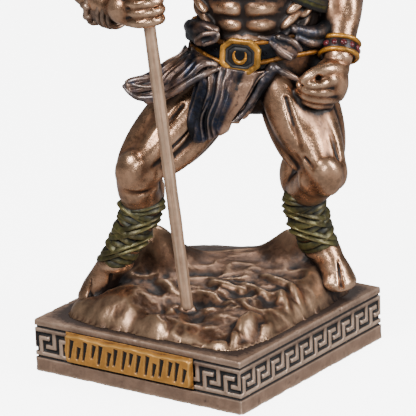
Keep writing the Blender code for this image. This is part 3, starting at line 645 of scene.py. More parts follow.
walls = np.stack([rim[:, 1], rim[:, 0], rim[:, 0] + len(used), rim[:, 1] + len(used)], 1)
rock_bronze = painted(
    "rock_bronze", (0.013, 0.007, 0.005), (0.175, 0.092, 0.055), (0.58, 0.365, 0.225),
    metallic=0.85, roughness=0.34, layers=(0.45, 0.63, 0.15, 0.18), stain=0.6,
)
rock_faces = np.concatenate([cell, cell[:, ::-1] + len(used), walls])
make_piece(
    "rock_mound", np.concatenate([top, under]), rock_faces, rock_bronze, "minotaur", 24
)

# The figure's body: bare bronze flesh from the hoofs to the neck, with its hands. It was modelled
# in clay, moulded with the rock and cast, then washed dark and rubbed back to bright metal.
FLESH_STEP = 0.28


class Clay:
    """Modelling clay: a grid of distances to a surface, in millimetres along the figure's stance."""

    def __init__(self, low, high, step):
        self.step = step
        self.axes = [np.arange(a, b, step, dtype=np.float32) for a, b in zip(low, high)]
        self.depth = np.full([len(axis) for axis in self.axes], 3.0, np.float32)

    def near(self, low, high):
        """The part of the grid between two corners, and its coordinates."""
        cut = tuple(slice(*np.searchsorted(axis, (a, b))) for axis, a, b in zip(self.axes, low, high))
        return cut, np.meshgrid(*[axis[c] for axis, c in zip(self.axes, cut)], indexing="ij", sparse=True)

    def press(self, cut, shape, blend, dig=False):
        """Adds a shape to the clay, or digs it out, with a soft join."""
        old = self.depth[cut]
        if dig:
            share = np.clip(0.5 - 0.5 * (old + shape) / blend, 0, 1)
            self.depth[cut] = old - (shape + old) * share + blend * share * (1 - share)
        else:
            share = np.clip(0.5 + 0.5 * (old - shape) / blend, 0, 1)
            self.depth[cut] = old + (shape - old) * share - blend * share * (1 - share)

    def lump(self, middle, radii, blend=0.8, axes=None, dig=False):
        """An egg shape with its radii along the rows of axes."""
        middle = np.array(middle, float)
        axes = np.eye(3) if axes is None else np.array(axes, float)
        reach = np.sqrt(((axes * np.array(radii)[:, None]) ** 2).sum(0)) + blend + 0.8
        cut, (x, y, z) = self.near(middle - reach, middle + reach)
        if min(c.stop - c.start for c in cut) < 1:
            return
        once = 0
        twice = 0
        for row, radius in zip(axes, radii):
            along = (x - middle[0]) * row[0] + (y - middle[1]) * row[1] + (z - middle[2]) * row[2]
            once = once + (along / radius) ** 2
            twice = twice + (along / radius**2) ** 2
        once = np.sqrt(once)
        self.press(cut, (once * (once - 1) / np.sqrt(twice + 1e-9)).astype(np.float32), blend, dig)

    def muscle(self, start, end, wide, thick, blend=0.8, facing=(0, -1, 0), dig=False):
        """An egg shape from one end to another, with its thickness along the way it faces."""
        start, end = np.array(start, float), np.array(end, float)
        long = end - start
        length = np.linalg.norm(long)
        long = long / length
        out = np.array(facing, float)
        out -= long * out.dot(long)
        out /= np.linalg.norm(out)
        self.lump(
            (start + end) / 2, (length / 2, wide, thick), blend, (long, np.cross(out, long), out), dig
        )

    def stroke(self, stations, blend=0.6, dig=False, wide=None):
        """A rounded stroke through stations of side, fore, up and radius, or half width and half depth."""
        points = curve_through(stations, 4)
        reach = points[:, 3:].max() + blend + 0.8
        whole, _ = self.near(points[:, :3].min(0) - reach, points[:, :3].max(0) + reach)
        shape = np.full([c.stop - c.start for c in whole], 9.0, np.float32)
        if not shape.size:
            return
        for a, b in zip(points, points[1:]):
            low = np.minimum(a[:3], b[:3]) - reach
            cut, (x, y, z) = self.near(low, np.maximum(a[:3], b[:3]) + reach)
            if min(c.stop - c.start for c in cut) < 1:
                continue
            along = b[:3] - a[:3]
            length = along.dot(along) + 1e-9
            away = (x - a[0], y - a[1], z - a[2])
            share = np.clip(sum(d * v for d, v in zip(away, along)) / length, 0, 1)
            away = [d - share * v for d, v in zip(away, along)]
            square = away[0] ** 2 + away[1] ** 2 + away[2] ** 2
            half = a[3] + (b[3] - a[3]) * share
            if wide is None:
                new = np.sqrt(square) - half
            else:
                unit = along / math.sqrt(length)
                across = np.array(wide, float)
                across -= unit * across.dot(unit)
                across /= np.linalg.norm(across) + 1e-9
                part = sum(d * v for d, v in zip(away, across))
                rest = np.maximum(square - part**2, 0)
                thin = a[4] + (b[4] - a[4]) * share
                once = np.sqrt((part / half) ** 2 + rest / thin**2)
                new = once * (once - 1) / np.sqrt((part / half**2) ** 2 + rest / thin**4 + 1e-9)
            part = tuple(slice(c.start - w.start, c.stop - w.start) for c, w in zip(cut, whole))
            shape[part] = np.minimum(shape[part], new)
        self.press(whole, shape, blend, dig)

    def groove(self, stations, blend=0.6):
        """A stroke dug out of the clay."""
        self.stroke(stations, blend, True)

    def surface(self, low=None, high=None):
        """The clay's surface between two heights, as points along the stance and four-cornered faces."""
        grid = self.depth.copy()
        up = self.axes[2][None, None, :]
        if low is not None:
            grid = np.maximum(grid, low - up)
        if high is not None:
            grid = np.maximum(grid, up - high)
        for axis in range(3):
            border = [slice(None)] * 3
            for end in (0, -1):
                border[axis] = end
                grid[tuple(border)] = 3.0
        inside = grid < 0
        total = np.zeros([n - 1 for n in grid.shape] + [3], np.float32)
        count = np.zeros([n - 1 for n in grid.shape], np.float32)
        crossings = []
        for axis in range(3):
            near = [slice(None)] * 3
            far = [slice(None)] * 3
            near[axis] = slice(0, -1)
            far[axis] = slice(1, None)
            where = np.argwhere(inside[tuple(near)] != inside[tuple(far)])
            a = grid[tuple(near)][tuple(where.T)]
            b = grid[tuple(far)][tuple(where.T)]
            point = where.astype(np.float32)
            point[:, axis] += a / (a - b)
            crossings.append((axis, where, a < 0))
            one, two = [k for k in range(3) if k != axis]
            for shift in ((0, 0), (0, 1), (1, 0), (1, 1)):
                cell = where.copy()
                cell[:, one] -= shift[0]
                cell[:, two] -= shift[1]
                np.add.at(total, tuple(cell.T), point)
                np.add.at(count, tuple(cell.T), 1)
        used = count > 0
        number = np.full(count.shape, -1, np.int64)
        number[used] = np.arange(used.sum())
        points = total[used] / count[used][:, None]
        faces = []
        for axis, where, outward_first in crossings:
            one, two = [k for k in range(3) if k != axis]
            ring = []
            for shift in ((0, 0), (1, 0), (1, 1), (0, 1)):
                cell = where.copy()
                cell[:, one] -= shift[0]
                cell[:, two] -= shift[1]
                ring.append(number[tuple(cell.T)])
            ring = np.stack(ring, 1)
            flip = outward_first if axis == 1 else ~outward_first
            ring[flip] = ring[flip][:, ::-1]
            faces.append(ring)
        start = np.array([axis[0] for axis in self.axes])
        return points * self.step + start, np.concatenate(faces)


def curve_through(stations, steps):
    """A smooth curve through a list of stations, with their radii."""
    given = np.array(stations, float)
    if len(given) < 3 or steps < 2:
        return given
    ends = np.concatenate([[2 * given[0] - given[1]], given, [2 * given[-1] - given[-2]]])
    ends[0, 3:], ends[-1, 3:] = given[0, 3:], given[-1, 3:]
    made = []
    for a, b, c, d in zip(ends, ends[1:], ends[2:], ends[3:]):
        for t in np.arange(steps) / steps:
            bend = (2 * a - 5 * b + 4 * c - d) * t**2 + (3 * b - a - 3 * c + d) * t**3
            made.append(0.5 * (2 * b + (c - a) * t + bend))
    made.append(given[-1])
    return np.array(made)


def to_world(points):
    """Places along the figure's stance as places of the whole model, still in millimetres."""
    points = np.asarray(points, float)
    cosine, sine = math.cos(STANCE_TURN), math.sin(STANCE_TURN)
    x = points[:, 0] * cosine - points[:, 1] * sine
    y = points[:, 0] * sine + points[:, 1] * cosine
    return np.stack([x, y, points[:, 2] + PLINTH_TOP], 1)


def cast_on(name, points, faces, finish, passes, marks=None, slot="cast_bronze", replaces="minotaur"):
    """Makes a piece of the figure, or of its axe, from places along its stance."""
    make_piece(name, to_world(points), faces, finish, replaces, passes, marks)


# Trunk, from the crotch to the neck: side, fore, up, half width and half depth.
TRUNK = [
    (10, 1, 39.5, 6, 4.6),
    (10, 0.5, 42, 10.8, 7.2),
    (10.4, 0.3, 47, 11.6, 7.4),
    (10.9, 0, 51.5, 10.4, 6.8),
    (11, 0.3, 58, 11.6, 7.4),
    (11, 0.5, 64, 12.8, 8),
    (10.8, 1, 68.5, 11.4, 6.8),
    (10.4, 0.6, 72, 7, 6),
    (10, -0.6, 76, 5, 5),
]
HIP_TURN = math.radians(-17)


def trunk_skin(angle, up, proud=0.0):
    """A point on the trunk, at an angle from its front towards the figure's left."""
    ups = [s[2] for s in TRUNK]
    side, fore, wide, deep = (np.interp(up, ups, [s[k] for s in TRUNK]) for k in (0, 1, 3, 4))
    turned = angle + HIP_TURN
    return (side + (wide + proud) * math.sin(turned), fore - (deep + proud) * math.cos(turned), up)


def trunk_facing(angle):
    return np.array((math.sin(angle + HIP_TURN), -math.cos(angle + HIP_TURN), 0.0))


flesh = Clay((-26, -17, -1), (33, 14, 79), FLESH_STEP)
flesh.stroke(TRUNK, 1, wide=(1, 0, 0))


def press_on(angle, up, radii, proud, blend, tilt=0.0):
    """A lump on the trunk: half width, half height and half depth, tilted by degrees."""
    out = trunk_facing(angle)
    level = np.array((-out[1], out[0], 0.0))
    lean = math.radians(tilt)
    across = level * math.cos(lean) + np.array((0, 0, 1.0)) * math.sin(lean)
    rise = -level * math.sin(lean) + np.array((0, 0, 1.0)) * math.cos(lean)
    flesh.lump(trunk_skin(angle, up, proud), radii, blend, (across, rise, out))


# Belly: rows of two, and the slanting slips of muscle beside them.
for up, wide, high, proud in ((52.4, 2.4, 1.45, -0.7), (55.3, 2.7, 1.75, -0.65), (58.9, 2.8, 2.0, -0.7)):
    for hand in (-1, 1):
        press_on(hand * 0.29, up, (wide, high, 1.35), proud, 0.7)
press_on(0.0, 49.6, (3.6, 1.6, 1.4), -0.8, 0.6)
flesh.groove([(*trunk_skin(0, up, 0.75), 0.4) for up in (51, 53, 57, 61)])
for up in (53.8, 57.4):
    for hand in (-1, 1):
        flesh.groove(
            [(*trunk_skin(hand * a, up + 0.5 * abs(a), 0.75), 0.35) for a in (0.03, 0.2, 0.5)], 0.5
        )
for row in range(5):
    for hand in (-1, 1):
        press_on(
            hand * (0.72 + 0.1 * row), 51.0 + 2.5 * row, (2.9, 0.95, 1.2), -0.2, 0.4,
            tilt=hand * (46 - 6 * row)
        )
        press_on(
            hand * (1.06 + 0.06 * row), 52.0 + 2.4 * row, (2.2, 0.8, 1.0), -0.2, 0.4,
            tilt=hand * (40 - 6 * row)
        )
# Chest, shoulders, neck and the muscles of the back.
for hand in (-1, 1):
    press_on(hand * 0.52, 64.4, (5.4, 3.9, 3.0), -0.9, 0.6, tilt=hand * -8)
    press_on(math.pi - hand * 0.62, 60.5, (4.4, 6.8, 2.6), -0.8, 0.8, tilt=hand * 14)
    press_on(math.pi - hand * 0.42, 67.0, (4.6, 3.2, 2.4), -0.6, 0.8, tilt=hand * -20)
    flesh.muscle((10.4 + hand * 2, 1.6, 73.5), (10.8 + hand * 10.5, 1, 69.8), 3, 2.8, 1.2)
flesh.groove([(*trunk_skin(math.pi, up, 0.5), 0.5) for up in (49, 54, 60, 66, 70)], 1)
flesh.groove([(*trunk_skin(0, up, 0.3), 0.4) for up in (61.5, 64, 67)], 0.8)

# Legs: side, fore, up and radius, from the hip to the ankle.
RIGHT_LEG = [
    (3.8, 1, 41, 5.6),
    (-2.8, -1.8, 35.4, 4.9),
    (-8, -4.8, 30.8, 4.3),
    (-11, -6.6, 27.2, 3.9),
    (-11.4, -6.2, 23.6, 3.6),
    (-10.7, -4.8, 20.4, 3.2),
    (-12.8, -3.7, 15, 2.9),
    (-15.8, -2.3, 9.6, 2.6),
]
LEFT_LEG = [
    (16, 1, 41, 5.4),
    (18, -2.8, 35, 4.8),
    (19.6, -6.2, 29.8, 4.3),
    (20.4, -7.6, 26.2, 3.9),
    (19, -5.4, 23, 3.5),
    (17.3, -1.8, 20.2, 3.1),
    (18.3, 0.3, 14, 3),
    (20.4, 1.1, 8.4, 2.7),
]
for leg in (RIGHT_LEG, LEFT_LEG):
    flesh.stroke(leg, 0.9)

# Right thigh, the one behind the haft.
for muscle in (
    ((2.2, -4, 42), (-11.6, -9.2, 28.2), 3.4, 3, 0.9, (-0.1, -1, 0.4)),
    ((-1, -0.8, 43), (-14.4, -6.6, 27.4), 3.4, 3, 0.9, (-1, -0.3, 0.6)),
    ((4, -2.6, 36.4), (-7.4, -8.2, 26.6), 2.6, 2.4, 0.8, (0.3, -1, -0.6)),
    ((5, 0.6, 37.2), (-7, -3.6, 26), 3.2, 3.2, 0.9, (0.2, 0.3, -1)),
    ((-0.6, 3.6, 40.6), (-10.4, -1.6, 26.8), 3.6, 3.4, 0.9, (-0.5, 1, 0)),
):
    flesh.muscle(*muscle)
flesh.groove([(-3.2, -7.9, 39, 0.3), (-8.4, -10.4, 34, 0.5), (-12, -11, 29.8, 0.3)])
flesh.groove([(-1, -7.6, 36.4, 0.3), (-5.6, -9.6, 31.4, 0.45), (-8.6, -10.2, 28.6, 0.3)])
flesh.groove([(-6.4, -6.6, 40, 0.2), (-11.2, -8.6, 34.2, 0.4), (-13.8, -9.6, 31, 0.2)])
flesh.groove([(-14, -9.8, 24.6, 0.25), (-11.6, -10.2, 24, 0.35), (-8.6, -9.4, 24.4, 0.25)])
# Right knee, with the scratched crease across it, and the calf.
flesh.muscle((-11.8, -9.2, 31.2), (-13.9, -8.6, 25), 2.5, 1.7, 0.9, (-0.6, -1, 0.1))
flesh.muscle((-13.4, -7.9, 25), (-8, -7.8, 24.4), 1.3, 1.3, 0.9, (0, -1, 0))
flesh.lump((-9.2, -8.6, 27.4), (2.2, 1.5, 2.2), 0.9)
flesh.groove([(-14.4, -11.2, 27, 0.3), (-12.6, -11.7, 27.7, 0.4), (-11.2, -11.6, 29.6, 0.25)], 0.4)
flesh.groove([(-12, -11.6, 28, 0.25), (-9.8, -11.2, 28.2, 0.3), (-7, -10.2, 29.6, 0.2)], 0.5)
flesh.muscle((-9.4, -3.4, 26.5), (-10.2, -2.2, 17.4), 3, 2.8, 0.7, (0.3, 1, 0))
flesh.muscle((-12.6, -6.4, 25.4), (-12.8, -5.2, 16.6), 1.8, 1.3, 0.6, (-1, -0.4, 0))

# Left thigh, all of it in view.
for muscle in (
    ((14.6, -3.4, 43), (20.4, -11.2, 25.4), 3.4, 2.9, 0.9, (-0.1, -1, 0.2)),
    ((18.6, -3, 41.6), (23.2, -9.6, 25.2), 2.9, 2.8, 0.9, (0.5, -1, 0.2)),
    ((20.6, 0.6, 42), (23.4, -5.6, 26.6), 2.6, 2.6, 0.9, (1, -0.3, 0.2)),
    ((10.8, -1.6, 40.4), (16.4, -8.2, 26.6), 2.2, 2.4, 0.7, (-0.9, -0.6, 0)),
    ((13.6, 2.4, 38.4), (18.4, -2.8, 24.6), 3, 3.2, 0.9, (-0.1, 1, 0)),
):
    flesh.muscle(*muscle)
flesh.groove([(14.3, -7.6, 36.6, 0.3), (15.4, -9.6, 32.4, 0.45), (16.6, -10.8, 28.6, 0.3)], 0.7)
flesh.groove([(17.6, -11, 29.8, 0.2), (18.8, -12, 28.2, 0.35), (20.4, -12.5, 28.6, 0.2)])
flesh.groove([(18.8, -12, 28, 0.2), (19.2, -11.6, 25.6, 0.35), (18.6, -10.6, 23.6, 0.2)])
flesh.groove([(12.4, -6.6, 38.6, 0.2), (14, -8.4, 35.6, 0.3), (14.6, -9.2, 33.4, 0.2)], 0.5)
flesh.groove([(21.2, -8.6, 37.4, 0.2), (22.6, -9.6, 32.4, 0.35), (23.2, -10.2, 28.6, 0.2)])
# Left knee and calf.
flesh.muscle((21, -11.6, 29.4), (21.8, -9.8, 22.4), 2.6, 1.7, 1, (0.2, -1, 0))
flesh.muscle((23.4, -8.6, 28.6), (22.9, -8.4, 23), 1.7, 1.8, 0.6, (1, -0.6, 0))
flesh.lump((18.4, -9.2, 25.2), (2.1, 1.6, 2.4), 1)
flesh.muscle((15.9, -1.2, 27.8), (15.7, 0.8, 18.6), 2.5, 2.9, 0.6, (-0.4, 1, 0))

# Arms.
RIGHT_ARM = [
    (0.4, 1, 68, 4.4),
    (-6, 1.4, 66.8, 3.7),
    (-12.5, 1.8, 65.2, 3.6),
    (-19.8, 1.6, 62.8, 3),
    (-19.4, -2.2, 60.4, 3.3),
    (-17, -5.4, 58.2, 2.9),
    (-13.2, -9.2, 57, 2.2),
]
LEFT_ARM = [
    (22.2, 1, 67.4, 4.4),
    (24.8, 1.8, 62.6, 3.8),
    (25.8, 2.4, 57.4, 3.3),
    (25.2, 0, 52.8, 3.3),
    (24.6, -2.6, 49.4, 2.8),
    (24, -5.2, 46, 2.5),
]
for arm in (RIGHT_ARM, LEFT_ARM):
    flesh.stroke(arm, 1.2)
for side in (0.4, 22.2):
    flesh.lump((side, 0.8, 68.4), (4.8, 4.8, 4.6), 0.8)
for muscle in (
    ((-3, -0.6, 68), (-17, -0.4, 64.6), 2.8, 2.6, 0.6, (0, -1, 0.3)),
    ((-3, 2.8, 66), (-17.5, 3.4, 62.6), 2.8, 2.6, 0.6, (0, 0.6, -1)),
    ((-19.4, 0.6, 64), (-17.4, -5.6, 60.2), 2.2, 2, 0.6, (-0.3, 0, 1)),
    ((23.4, -1, 66.4), (25.2, -0.4, 58), 2.8, 2.4, 0.6, (0, -1, 0)),
    ((23.6, 3, 66), (26, 3.8, 58), 2.6, 2.4, 0.6, (0.3, 1, 0)),
    ((26, 0.8, 58), (25.6, -2.8, 49.8), 2.3, 2.4, 0.6, (0.8, -0.6, 0.1)),
    ((23.8, 0.6, 57.4), (23.2, -2.6, 49.6), 2.2, 2.2, 0.6, (-0.6, -0.8, 0)),
):
    flesh.muscle(*muscle)

# The hand that holds the haft: fingers level round it from the left, the back of the hand behind.
HAFT_FOOT = np.array((-3.7, -12.3, 3.9))
HAFT_LEAN = -0.0886


def haft_at(up):
    return HAFT_FOOT + np.array((HAFT_LEAN, 0, 1)) * (up - HAFT_FOOT[2])


flesh.lump((-12, -10.6, 57.5), (3.3, 2.7, 3), 0.8)
for finger in range(4):
    near = haft_at(55.8 + 1.65 * finger)
    stretch = (0.0, 0.25, 0.2, -0.1)[finger]
    flesh.stroke(
        [
            (near[0] - 3.6, near[1] + 0.6, near[2] - 0.3, 1.0),
            (near[0] - 1.6, near[1] - 1.6, near[2] - 0.1, 1.02),
            (near[0] + 0.6 + stretch, near[1] - 1.9, near[2] + 0.15, 0.98),
            (near[0] + 2.0 + stretch, near[1] - 0.6, near[2] + 0.2, 0.92),
            (near[0] + 1.6 + stretch, near[1] + 1.2, near[2] + 0.1, 0.8),
        ],
        0.22,
    )
flesh.stroke([(-12, -9.4, 60.4, 1.4), (-9.8, -10.8, 61.6, 1.15), (-6.6, -10.6, 61.2, 0.95)], 0.35)
for finger in range(3):
    near = haft_at(56.7 + 1.65 * finger)
    flesh.groove(
        [(near[0] - 3, near[1] - 1.4, near[2] - 0.1, 0.12),
        (near[0] + 2.6, near[1] - 2.2, near[2] + 0.1, 0.2)], 0.25
    )

# The hand at the hip: a closed fist with the thumb across, its eye open towards the viewer.
flesh.lump((22.6, -6.6, 42.4), (2.8, 2.8, 3.6), 0.7, ((0.9, 0.1, 0.35), (-0.1, 1, 0), (-0.35, 0, 0.93)))
flesh.lump((23.8, -5.8, 41), (1.5, 2.2, 3), 0.7)
flesh.stroke(
    [(24.2, -6.4, 44, 1.6), (22.2, -8.4, 44.6, 1.4), (20.2, -9.5, 44.5, 1.15), (18.6, -10, 43.9, 0.95),
    (17.7, -10, 43.2, 0.8)], 0.6
)
flesh.lump((21.8, -8.9, 42.9), (1.9, 1.4, 1.3), 0.6)
FINGER_RADII = (0.95, 0.92, 0.85, 0.8)
FIST_FINGERS = [
    ((23.4, -7.6, 42.6), (21, -10, 42.7), (18.9, -10.4, 42.3), (17.7, -9.2, 42.6)),
    ((23.2, -7.4, 41), (20.8, -9.9, 41.1), (18.4, -10.2, 41.1), (17.2, -9, 41.6)),
    ((22.8, -7, 39.4), (20.4, -9.5, 39.7), (18.2, -9.8, 39.9), (17.1, -8.6, 40.4)),
    ((22, -6.6, 38.2), (19.9, -8.8, 38.5), (18.2, -9, 38.9), (17.4, -8, 39.4)),
]
for finger in FIST_FINGERS:
    stations = [(x, y, z - 0.2 * (x - 20.3), radius) for (x, y, z), radius in zip(finger, FINGER_RADII)]
    flesh.stroke(stations, 0.18)
flesh.groove([(20.5, -12.6, 44.2, 0.95), (20.4, -10.9, 43.7, 0.75), (20.2, -9.7, 43.5, 0.3)], 0.4)

# Hoofs: the fetlock runs smoothly into a flared wall of horn with a flat sole and one narrow cleft.
for ankle, pastern, hoof, facing, sole in (
    ((-15.8, -2.3, 9.8), (-17.6, -1.5, 6.8), (-19.3, -0.5, 3.4), (-0.75, -1), 1),
    ((20.6, 0.8, 9.6), (21.7, -0.2, 7), (22.7, -0.9, 4.6), (0.28, -1), 2.6),
):
    forward = np.array((*facing, 0)) / math.hypot(*facing)
    hoof = np.array(hoof)
    flesh.stroke([(*ankle, 2.75), (*pastern, 2.65), (*hoof, 3)], 0.8)
    flesh.lump((ankle[0], ankle[1] - 0.4, ankle[2] - 1), (2.85, 2.6, 1.5), 0.8)
    flesh.lump(hoof + forward * 0.3 - (0, 0, 1), (3.5, 3.4, 2), 0.8)
    flesh.lump((hoof[0], hoof[1], sole - 4), (7, 7, 4), 0.4, dig=True)
flesh.groove(
    [(22.9, -2.2, 8, 0.12), (23.1, -2.8, 6.6, 0.3), (23.4, -4, 4.8, 0.42), (23.5, -4.4, 3.2, 0.55)], 0.2
)
flesh.groove([(-20, -2.3, 6.4, 0.15), (-20.8, -3.1, 4.9, 0.36), (-20.7, -3.6, 2.8, 0.5)], 0.2)
flesh.groove(
    [(-16.5, -4.3, 8.4, 0.15), (-16.9, -4.2, 7, 0.32), (-17.1, -3.8, 4.9, 0.42),
    (-17.4, -3.6, 2.9, 0.45)], 0.4
)
# The inner thigh, filled out to the fork, and the fold where the thigh meets the belly.
flesh.muscle((11.6, -5.4, 45.2), (17.4, -9.4, 29), 3.4, 2.7, 1, (-0.4, -1, 0.1))
flesh.groove([(13, -9.6, 45.4, 0.3), (15.6, -10.2, 43.6, 0.4), (18.4, -9.6, 42, 0.3)], 0.5)
flesh.groove([(14.6, -9.2, 40, 0.2), (15.8, -10.6, 35.4, 0.35), (17, -11.4, 31.2, 0.2)])
cast_bronze = painted(
    "cast_bronze", (0.011, 0.005, 0.003), (0.33, 0.163, 0.088), (0.84, 0.53, 0.335),
    metallic=0.9, roughness=0.27, layers=(0.46, 0.62, 0.16, 0.22), stain=0.7,
)
for name, low, high in (("torso_and_arms", 46.0, None), ("legs_and_hoofs", None, 46.8)):
    points, faces = flesh.surface(low, high)
    cast_on(name, points, faces, cast_bronze, 30)

# The loincloth: a heavy cloth held by the belt, moulded with the figure. It falls in long folds in
# front and behind, flies out in a corner past the haft, and rolls over the belt at both hips. It is
# painted blue black, with bronze and silver brushed over its folds.


def through_rows(rows, across, down):
    """A smooth grid of points through rows of places, from the top row to the bottom one."""
    wide = [curve_through([(*place, 0) for place in row], 12)[:, :3] for row in rows]
    wide = [resampled(row, across) for row in wide]
    made = [curve_through([(*place, 0) for place in column], 12)[:, :3] for column in np.stack(wide, 1)]
    return np.stack([resampled(column, down) for column in made], 1)


def resampled(line, count):
    """The line again, in evenly spaced places."""
    length = np.concatenate([[0], np.cumsum(np.linalg.norm(np.diff(line, axis=0), axis=1))])
    wanted = np.linspace(0, length[-1], count)
    return np.stack([np.interp(wanted, length, line[:, axis]) for axis in range(3)], 1)


def fold_shape(u, v, ridges):
    """The height of a set of folds. Each is u and v at both ends, half widths there, and its height."""
    up = np.zeros_like(u)
    for u0, v0, u1, v1, wide0, wide1, high in ridges:
        along = np.array((u1 - u0, v1 - v0))
        length = np.linalg.norm(along)
        share = ((u - u0) * along[0] + (v - v0) * along[1]) / length**2
        off = ((u - u0) * along[1] - (v - v0) * along[0]) / length
        held = np.clip(share, 0, 1)
        wide = wide0 + (wide1 - wide0) * held
        # One flank is steeper than the other, as in cloth that leans over.
        off = off + 0.12 * wide * np.sin(9 * held + 5 * u0)
        lean = np.where(off > 0, off / (0.75 * wide), -off / (1.3 * wide))
        ends = smooth_step(-0.12, 0.1, share) * smooth_step(1.1, 0.92, share)
        up = np.maximum(up, high * ends * np.clip(1 - lean, 0, 1) ** 0.85)
    return up


def cloth_sheet(rows, across, down, ridges, thickness=0.7, ripple=0.12, seed=0, flip=False):
    """A closed sheet of cloth through rows of places, with folds raised on its outer side."""
    grid = through_rows(rows, across, down)
    tangent_across = np.gradient(grid, axis=1)
    tangent_down = np.gradient(grid, axis=0)
    normal = np.cross(tangent_across, tangent_down)
    normal /= np.linalg.norm(normal, axis=2)[..., None] + 1e-9
    if flip:
        normal = -normal
    wide = np.linalg.norm(grid[:, -1] - grid[:, 0], axis=1).mean()
    long = np.linalg.norm(grid[-1] - grid[0], axis=1).mean()
    v, u = np.meshgrid(np.linspace(0, long, down), np.linspace(0, wide, across), indexing="ij")
    scaled = [(a * wide, b * long, c * wide, d * long, e, f, g) for a, b, c, d, e, f, g in ridges]
    spots = np.stack([u.ravel(), 0.5 * v.ravel(), 0 * u.ravel()], 1)
    wander = 0.75 * rough(spots, 2.6, seed + 5, 2).reshape(u.shape)
    strength = 0.85 + 0.75 * rough(spots, 2.2, seed + 9, 2).reshape(u.shape)
    folds = fold_shape(u + wander, v, scaled) * np.clip(strength, 0.25, 1.3)
    for _ in range(2):
        beside = folds[:-2, 1:-1] + folds[2:, 1:-1] + folds[1:-1, :-2] + folds[1:-1, 2:]
        folds[1:-1, 1:-1] = (folds[1:-1, 1:-1] * 2 + beside) / 6
    wrinkle = rough(
        np.stack([u.ravel(), v.ravel() * 0.35, 0 * u.ravel()], 1), 1.2, seed, 2
    ).reshape(u.shape)
    outer = grid + normal * (folds + ripple * wrinkle)[..., None]
    inner = grid - normal * thickness + normal * (0.5 * folds)[..., None]
    rim_v = np.minimum(np.arange(down), np.arange(down)[::-1])[:, None]
    rim_u = np.minimum(np.arange(across), np.arange(across)[::-1])[None, :]
    closing = np.clip(np.minimum(rim_v, rim_u) / 2.5, 0, 1)[..., None] ** 0.5
    middle = (outer + inner) / 2
    outer = middle + (outer - middle) * closing
    inner = middle + (inner - middle) * closing
    faces = slab_faces(down, across)
    points = np.concatenate([outer.reshape(-1, 3), inner.reshape(-1, 3)])
    return points, faces if flip else faces[:, ::-1]


# Rows run from the figure's right to its left, top row first.
front_rows = [
    [
        (-1.5, -4.4, 47.6), (1, -6.8, 46.8), (3.9, -8.4, 45.8), (7.1, -9.2, 45.3), (10.7, -9.1, 45),
        (14, -8.5, 45)
    ],
    [
        (-0.6, -7.8, 44.4), (1.4, -9.4, 43.8), (3.6, -10, 43), (6, -10.2, 42.4), (8.5, -9.6, 42.1),
        (11.3, -8.4, 42.7)
    ],
    [
        (-1.5, -8.4, 40.5), (0.6, -9.8, 40.1), (3, -10.5, 39.8), (5.3, -10.4, 39.4), (7.6, -9.4, 39.3),
        (9.5, -7.6, 39.6)
    ],
    [
        (-2.5, -8.6, 36.6), (-0.4, -9.8, 36.4), (1.8, -10.3, 36.4), (4, -10.1, 36.3), (6.1, -8.8, 36.6),
        (8.1, -6.9, 37.2)
    ],
    [
        (-1.7, -8.2, 32.9), (-0.6, -8.9, 32.4), (1.7, -9.4, 33.3), (4.2, -9.2, 34.6), (6.1, -8.2, 35.9),
        (7.4, -6.9, 36.6)
    ],
]
# Each fold: where it starts and ends, across and down from 0 to 1, its half widths and its height.
front_folds = [
    (0.03, 0, 0.03, 0.99, 0.6, 0.8, 1),
    (0.16, 0, 0.16, 0.99, 0.8, 0.8, 1.4),
    (0.3, 0, 0.27, 0.99, 1.1, 0.7, 1.8),
    (0.42, 0.05, 0.37, 0.97, 0.45, 0.55, 1.3),
    (0.5, 0.1, 0.46, 0.99, 0.5, 0.6, 1.2),
    (0.62, 0.12, 0.6, 0.9, 2, 2.6, 1.7),
    (0.8, 0, 0.74, 0.55, 0.5, 0.4, 1.2),
    (0.92, 0, 0.72, 0.99, 1, 0.9, 2.2),
    (0.99, 0.05, 0.86, 0.99, 0.6, 0.6, 1.5),
    (0.24, 0.45, 0.06, 0.97, 0.4, 0.5, 1.1),
]
side_rows_of_cloth = [
    [(3.6, -8, 45.6), (1, -6.2, 46.8), (-1.5, -3, 47.4), (-2, 1, 47)],
    [(1.3, -9.1, 46.3), (-0.7, -7.2, 46.9), (-2.5, -4.8, 46.8), (-3.3, -1.8, 46.2)],
    [(-1, -9.2, 44.7), (-2.6, -7.7, 45.6), (-4.3, -6, 46), (-5.6, -4.2, 45.7)],
    [(-3.4, -8.8, 42.8), (-4.9, -7.9, 44), (-6.3, -6.5, 44.7), (-7.6, -5, 44.7)],
    [(-6.1, -8.1, 40.9), (-7.4, -7.5, 42.4), (-8.6, -6.7, 43.4), (-9.7, -5.6, 43.9)],
    [(-9.4, -7.4, 40.3), (-10.3, -7.2, 41.7), (-11.2, -6.7, 42.8), (-12, -6, 43.6)],
    [(-11.4, -7.2, 40.9), (-12.2, -7, 41.7), (-12.7, -6.8, 42.4), (-13, -6.4, 43.2)],
]
side_folds = [
    (0.03, 0, 0.04, 0.99, 0.45, 0.55, 0.7),
    (0.14, 0.04, 0.2, 0.8, 0.4, 0.4, 0.5),
    (0.3, 0, 0.27, 0.97, 0.75, 0.55, 1),
    (0.42, 0.2, 0.46, 0.75, 0.3, 0.35, 0.5),
    (0.56, 0, 0.6, 0.99, 0.65, 0.55, 0.9),
    (0.72, 0.05, 0.74, 0.6, 0.35, 0.3, 0.5),
    (0.84, 0, 0.8, 0.96, 0.55, 0.5, 0.8),
    (0.98, 0, 0.96, 0.99, 0.45, 0.45, 0.6),
]
back_rows = []
